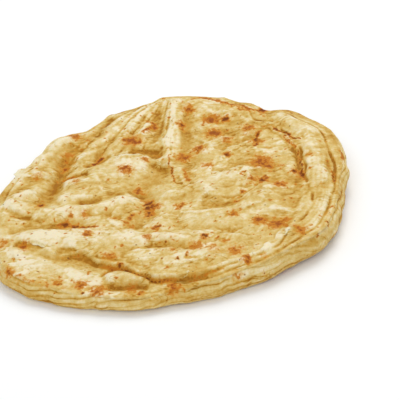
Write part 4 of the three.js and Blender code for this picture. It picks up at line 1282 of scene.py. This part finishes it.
def wrinkles_group():
    """Thin wandering lines, drawn out along the grain of the bread, in patches."""
    group, given, result = new_group("wrinkles", "Lines", Size=0.004, Thin=0.05)
    place, scale = place_and_scale(group, given)
    turn = (0, 0, -math.radians(GRAIN_AT))
    turned = add(group, "Mapping", Vector=place, Rotation=turn, Scale=WRINKLE_STRETCH).outputs[0]
    field = add(group, "TexNoise", Vector=turned, Scale=scale, Detail=2.0, Distortion=0.6).outputs[0]
    away = math_node(group, "ABSOLUTE", math_node(group, "SUBTRACT", field, 0.5))
    line = map_range(group, away, given["Thin"], 0.0)
    patch_scale = math_node(group, "MULTIPLY", scale, 0.45)
    patches = add(group, "TexNoise", Vector=place, Scale=patch_scale, Detail=1.0).outputs[0]
    shown = map_range(group, patches, *WRINKLE_PATCHES)
    group.links.new(math_node(group, "MULTIPLY", line, shown), result)
    return group


def specks_group():
    """Scattered dots: one in the middle of some of the cells of a grid of random cells."""
    group, given, result = new_group("specks", "Dots", Size=0.002, Share=0.05)
    place, scale = place_and_scale(group, given)
    cells = add(group, "TexVoronoi", Vector=place, Scale=scale)
    draw = add(group, "SeparateColor", Color=cells.outputs["Color"]).outputs[0]
    chosen = math_node(group, "LESS_THAN", draw, given["Share"])
    dot = map_range(group, cells.outputs["Distance"], *DOT_EDGE)
    dot = math_node(group, "MULTIPLY", dot, DOT_STRENGTH)
    group.links.new(math_node(group, "MULTIPLY", chosen, dot), result)
    return group


ragged_blot, mottle, wrinkles, specks = ragged_blot_group(), mottle_group(), wrinkles_group(), specks_group()
print("node groups:", ", ".join(group.name for group in (ragged_blot, mottle, wrinkles, specks)))

# %% [markdown]
# ## The fried dough material
# One material serves all three pieces, because it is one dough. Thin raised skin dries to a pale cream; the
# deep golden end of its colour is partly painted shade, in hollows, creases and grooves, and raised edges are
# lighter as painted highlight; toasted spots go from orange-brown to nearly black. The fields on the mesh say
# where, and fine noise in the material makes the borders ragged below the size of a face.

# %% Fried dough
DOUGH_SHADES = [  # share of gold, colour: from dry pale skin to deep golden, which is partly painted shade
    (0.0, (0.83, 0.725, 0.50, 1)),
    (0.2, (0.755, 0.61, 0.33, 1)),
    (0.42, (0.68, 0.49, 0.175, 1)),
    (0.65, (0.585, 0.355, 0.08, 1)),
    (0.85, (0.49, 0.245, 0.028, 1)),
    (1.0, (0.37, 0.15, 0.010, 1)),
]
DEEP_TOAST = (0.30, 0.068, 0.008, 1)
TOAST_SHADES = [  # level of toast, softness of its border, how much it covers, colour
    (0.25, 0.17, 0.55, (0.64, 0.32, 0.042, 1)),
    (0.48, 0.1, 0.92, (0.54, 0.188, 0.014, 1)),
    (0.82, 0.13, 0.86, DEEP_TOAST),
]
SCORCHED, SCORCH_COVERS = (0.17, 0.042, 0.005, 1), 0.85
SPECK = (0.20, 0.08, 0.015, 1)
CREASE_SHADE, LINE_GOLD = 0.48, 0.3  # what a full crease and a wrinkle line add to the gold: painted shade in them
DRY_ROUGHNESS, OILY_ROUGHNESS = 0.65, 0.45


def shade_ramp(tree, factor, shades):
    node = add(tree, "ValToRGB", Fac=factor)
    elements = node.color_ramp.elements
    while len(elements) < len(shades):
        elements.new(0.5)
    for element, (position, colour) in zip(elements, shades):
        element.position, element.color = position, colour
    return node.outputs["Color"]


def dough_material():
    material = bpy.data.materials.new("fried_dough")
    material.use_nodes = True
    tree = material.node_tree
    shader = tree.nodes["Principled BSDF"]
    names = ("gold", "crease", "toast_and_shade", "scorch_and_shade")
    fields = [add(tree, "Attribute", {"attribute_name": name}).outputs["Fac"] for name in names]
    gold, crease, toast_and_shade, scorch_and_shade = fields

    small = use_group(tree, mottle, Size=0.0035, Strength=0.75)
    fine = use_group(tree, mottle, Size=0.0013, Strength=0.45)
    lines = use_group(tree, wrinkles, Size=0.006, Thin=0.035)
    golden = math_node(tree, "ADD", math_node(tree, "ADD", gold, small), fine)
    # creases, and the wrinkle lines that the bump cuts as grooves, turn darker: painted shade; raised edges
    # turn paler: painted highlight
    golden = math_node(tree, "ADD", golden, math_node(tree, "MULTIPLY", crease, CREASE_SHADE))
    golden = math_node(tree, "ADD", golden, math_node(tree, "MULTIPLY", lines, LINE_GOLD))
    colour = shade_ramp(tree, golden, DOUGH_SHADES)

    ragged = use_group(tree, mottle, Size=0.0019, Strength=1.5)
    ragged = math_node(tree, "MULTIPLY", ragged, map_range(tree, toast_and_shade, 0.0, 0.3))
    browned = math_node(tree, "ADD", toast_and_shade, ragged)
    for level, soft, share, shade in TOAST_SHADES:
        amount = map_range(tree, browned, level - soft, level + soft, 0.0, share)
        colour = mix_colour(tree, amount, colour, shade)
    burnt = use_group(tree, ragged_blot, Field=scorch_and_shade, Size=0.0015, Raggedness=1.5, Level=0.43)
    colour = mix_colour(tree, math_node(tree, "MULTIPLY", burnt, SCORCH_COVERS), colour, SCORCHED)
    colour = mix_colour(tree, use_group(tree, specks, Size=0.0024, Share=0.035), colour, SPECK)
    pits = use_group(tree, specks, Size=0.0024, Share=0.4)
    pits = math_node(tree, "MULTIPLY", pits, map_range(tree, toast_and_shade, 0.35, 0.8))
    colour = mix_colour(tree, pits, colour, DEEP_TOAST)
    tree.links.new(colour, shader.inputs["Base Color"])

    grain = use_group(tree, mottle, Size=0.0012, Strength=1.0)
    lumps = use_group(tree, mottle, Size=0.003, Strength=1.6)
    relief = math_node(tree, "SUBTRACT", math_node(tree, "ADD", grain, lumps), lines)
    bump = add(tree, "Bump", Strength=0.5, Distance=0.0004, Height=relief)
    tree.links.new(bump.outputs[0], shader.inputs["Normal"])
    rough = map_range(tree, golden, 0.0, 1.0, DRY_ROUGHNESS, OILY_ROUGHNESS)
    tree.links.new(rough, shader.inputs["Roughness"])
    shader.inputs["Specular IOR Level"].default_value = 0.06
    shader.inputs["Subsurface Weight"].default_value = 0.12
    shader.inputs["Subsurface Radius"].default_value = (1.0, 0.55, 0.2)
    shader.inputs["Subsurface Scale"].default_value = 0.0015
    return material


fried_dough = dough_material()
for piece in (skin, coil, flakes):
    piece.data.materials.append(fried_dough)
    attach(piece, "root")
    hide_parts("paratha")
print("material:", fried_dough.name, "with", len(fried_dough.node_tree.nodes), "nodes")

# %% [markdown]
# ## Floor, light and camera
# A plain white table, a large soft lamp high on the right at the back, a weaker one on the left in front,
# and an even white sky. The camera looks down at the bread from the front, held slightly turned.

# %% Stage
VIEW_DISTANCE, VIEW_ELEVATION, VIEW_ROLL = 1.0, 34.0, 4.2  # m, degrees above the table, degrees turned
VIEW_TARGET = (16.0, -8.1, 6.0)  # mm
PIXEL = 0.548  # mm that one pixel of the square picture covers at the target
PICTURE = 400  # pixels across
SENSOR = 36.0  # mm
FLOOR_HALF = 4  # m
TABLE_WHITE = (0.945, 0.945, 0.945, 1)
SKY_COLOUR, SKY_STRENGTH = (0.92, 0.96, 1, 1), 0.66


def make_floor():
    blank = bmesh.new()
    bmesh.ops.create_grid(blank, x_segments=1, y_segments=1, size=FLOOR_HALF)
    mesh = bpy.data.meshes.new("floor")
    blank.to_mesh(mesh)
    blank.free()
    floor = bpy.data.objects.new("floor", mesh)
    bpy.context.scene.collection.objects.link(floor)
    white = bpy.data.materials.new("white_table")
    white.use_nodes = True
    shader = white.node_tree.nodes["Principled BSDF"]
    shader.inputs["Base Color"].default_value = TABLE_WHITE
    shader.inputs["Roughness"].default_value = 0.9
    shader.inputs["Specular IOR Level"].default_value = 0.1
    mesh.materials.append(white)


def make_lamp(name, energy, size, location, colour):
    """A square lamp, aimed at the middle of the bread."""
    data = bpy.data.lights.new(name, "AREA")
    data.energy, data.size, data.color = energy, size, colour
    lamp = bpy.data.objects.new(name, data)
    lamp.location = location
    lamp.rotation_euler = (-Vector(location)).to_track_quat("-Z", "Y").to_euler()
    bpy.context.scene.collection.objects.link(lamp)


def make_camera():
    lift, roll = math.radians(VIEW_ELEVATION), math.radians(VIEW_ROLL)
    forward = Vector((0, math.cos(lift), -math.sin(lift)))
    right, up = Vector((1, 0, 0)), Vector((0, math.sin(lift), math.cos(lift)))
    turned_right = math.cos(roll) * right - math.sin(roll) * up
    turned_up = math.sin(roll) * right + math.cos(roll) * up
    target = Vector(VIEW_TARGET) * MM
    data = bpy.data.cameras.new("camera")
    data.sensor_width = SENSOR
    data.lens = SENSOR * VIEW_DISTANCE / (PIXEL * MM * PICTURE)
    camera = bpy.data.objects.new("camera", data)
    turn = Matrix((turned_right, turned_up, -forward)).transposed().to_4x4()
    camera.matrix_world = Matrix.Translation(target - VIEW_DISTANCE * forward) @ turn
    bpy.context.scene.collection.objects.link(camera)
    bpy.context.scene.camera = camera
    print("lens:", round(data.lens, 1), "mm")


make_floor()
make_lamp("key", energy=7.6, size=0.8, location=(0.3, 0.62, 1.05), colour=(1, 0.98, 0.94))
make_lamp("front", energy=4.9, size=1.0, location=(-0.3, -1.1, 0.75), colour=(1, 0.985, 0.95))
sky = bpy.data.worlds.new("sky")
sky.use_nodes = True
background = sky.node_tree.nodes["Background"]
background.inputs["Color"].default_value = SKY_COLOUR
background.inputs["Strength"].default_value = SKY_STRENGTH
bpy.context.scene.world = sky
bpy.context.scene.view_settings.view_transform = "Standard"
make_camera()
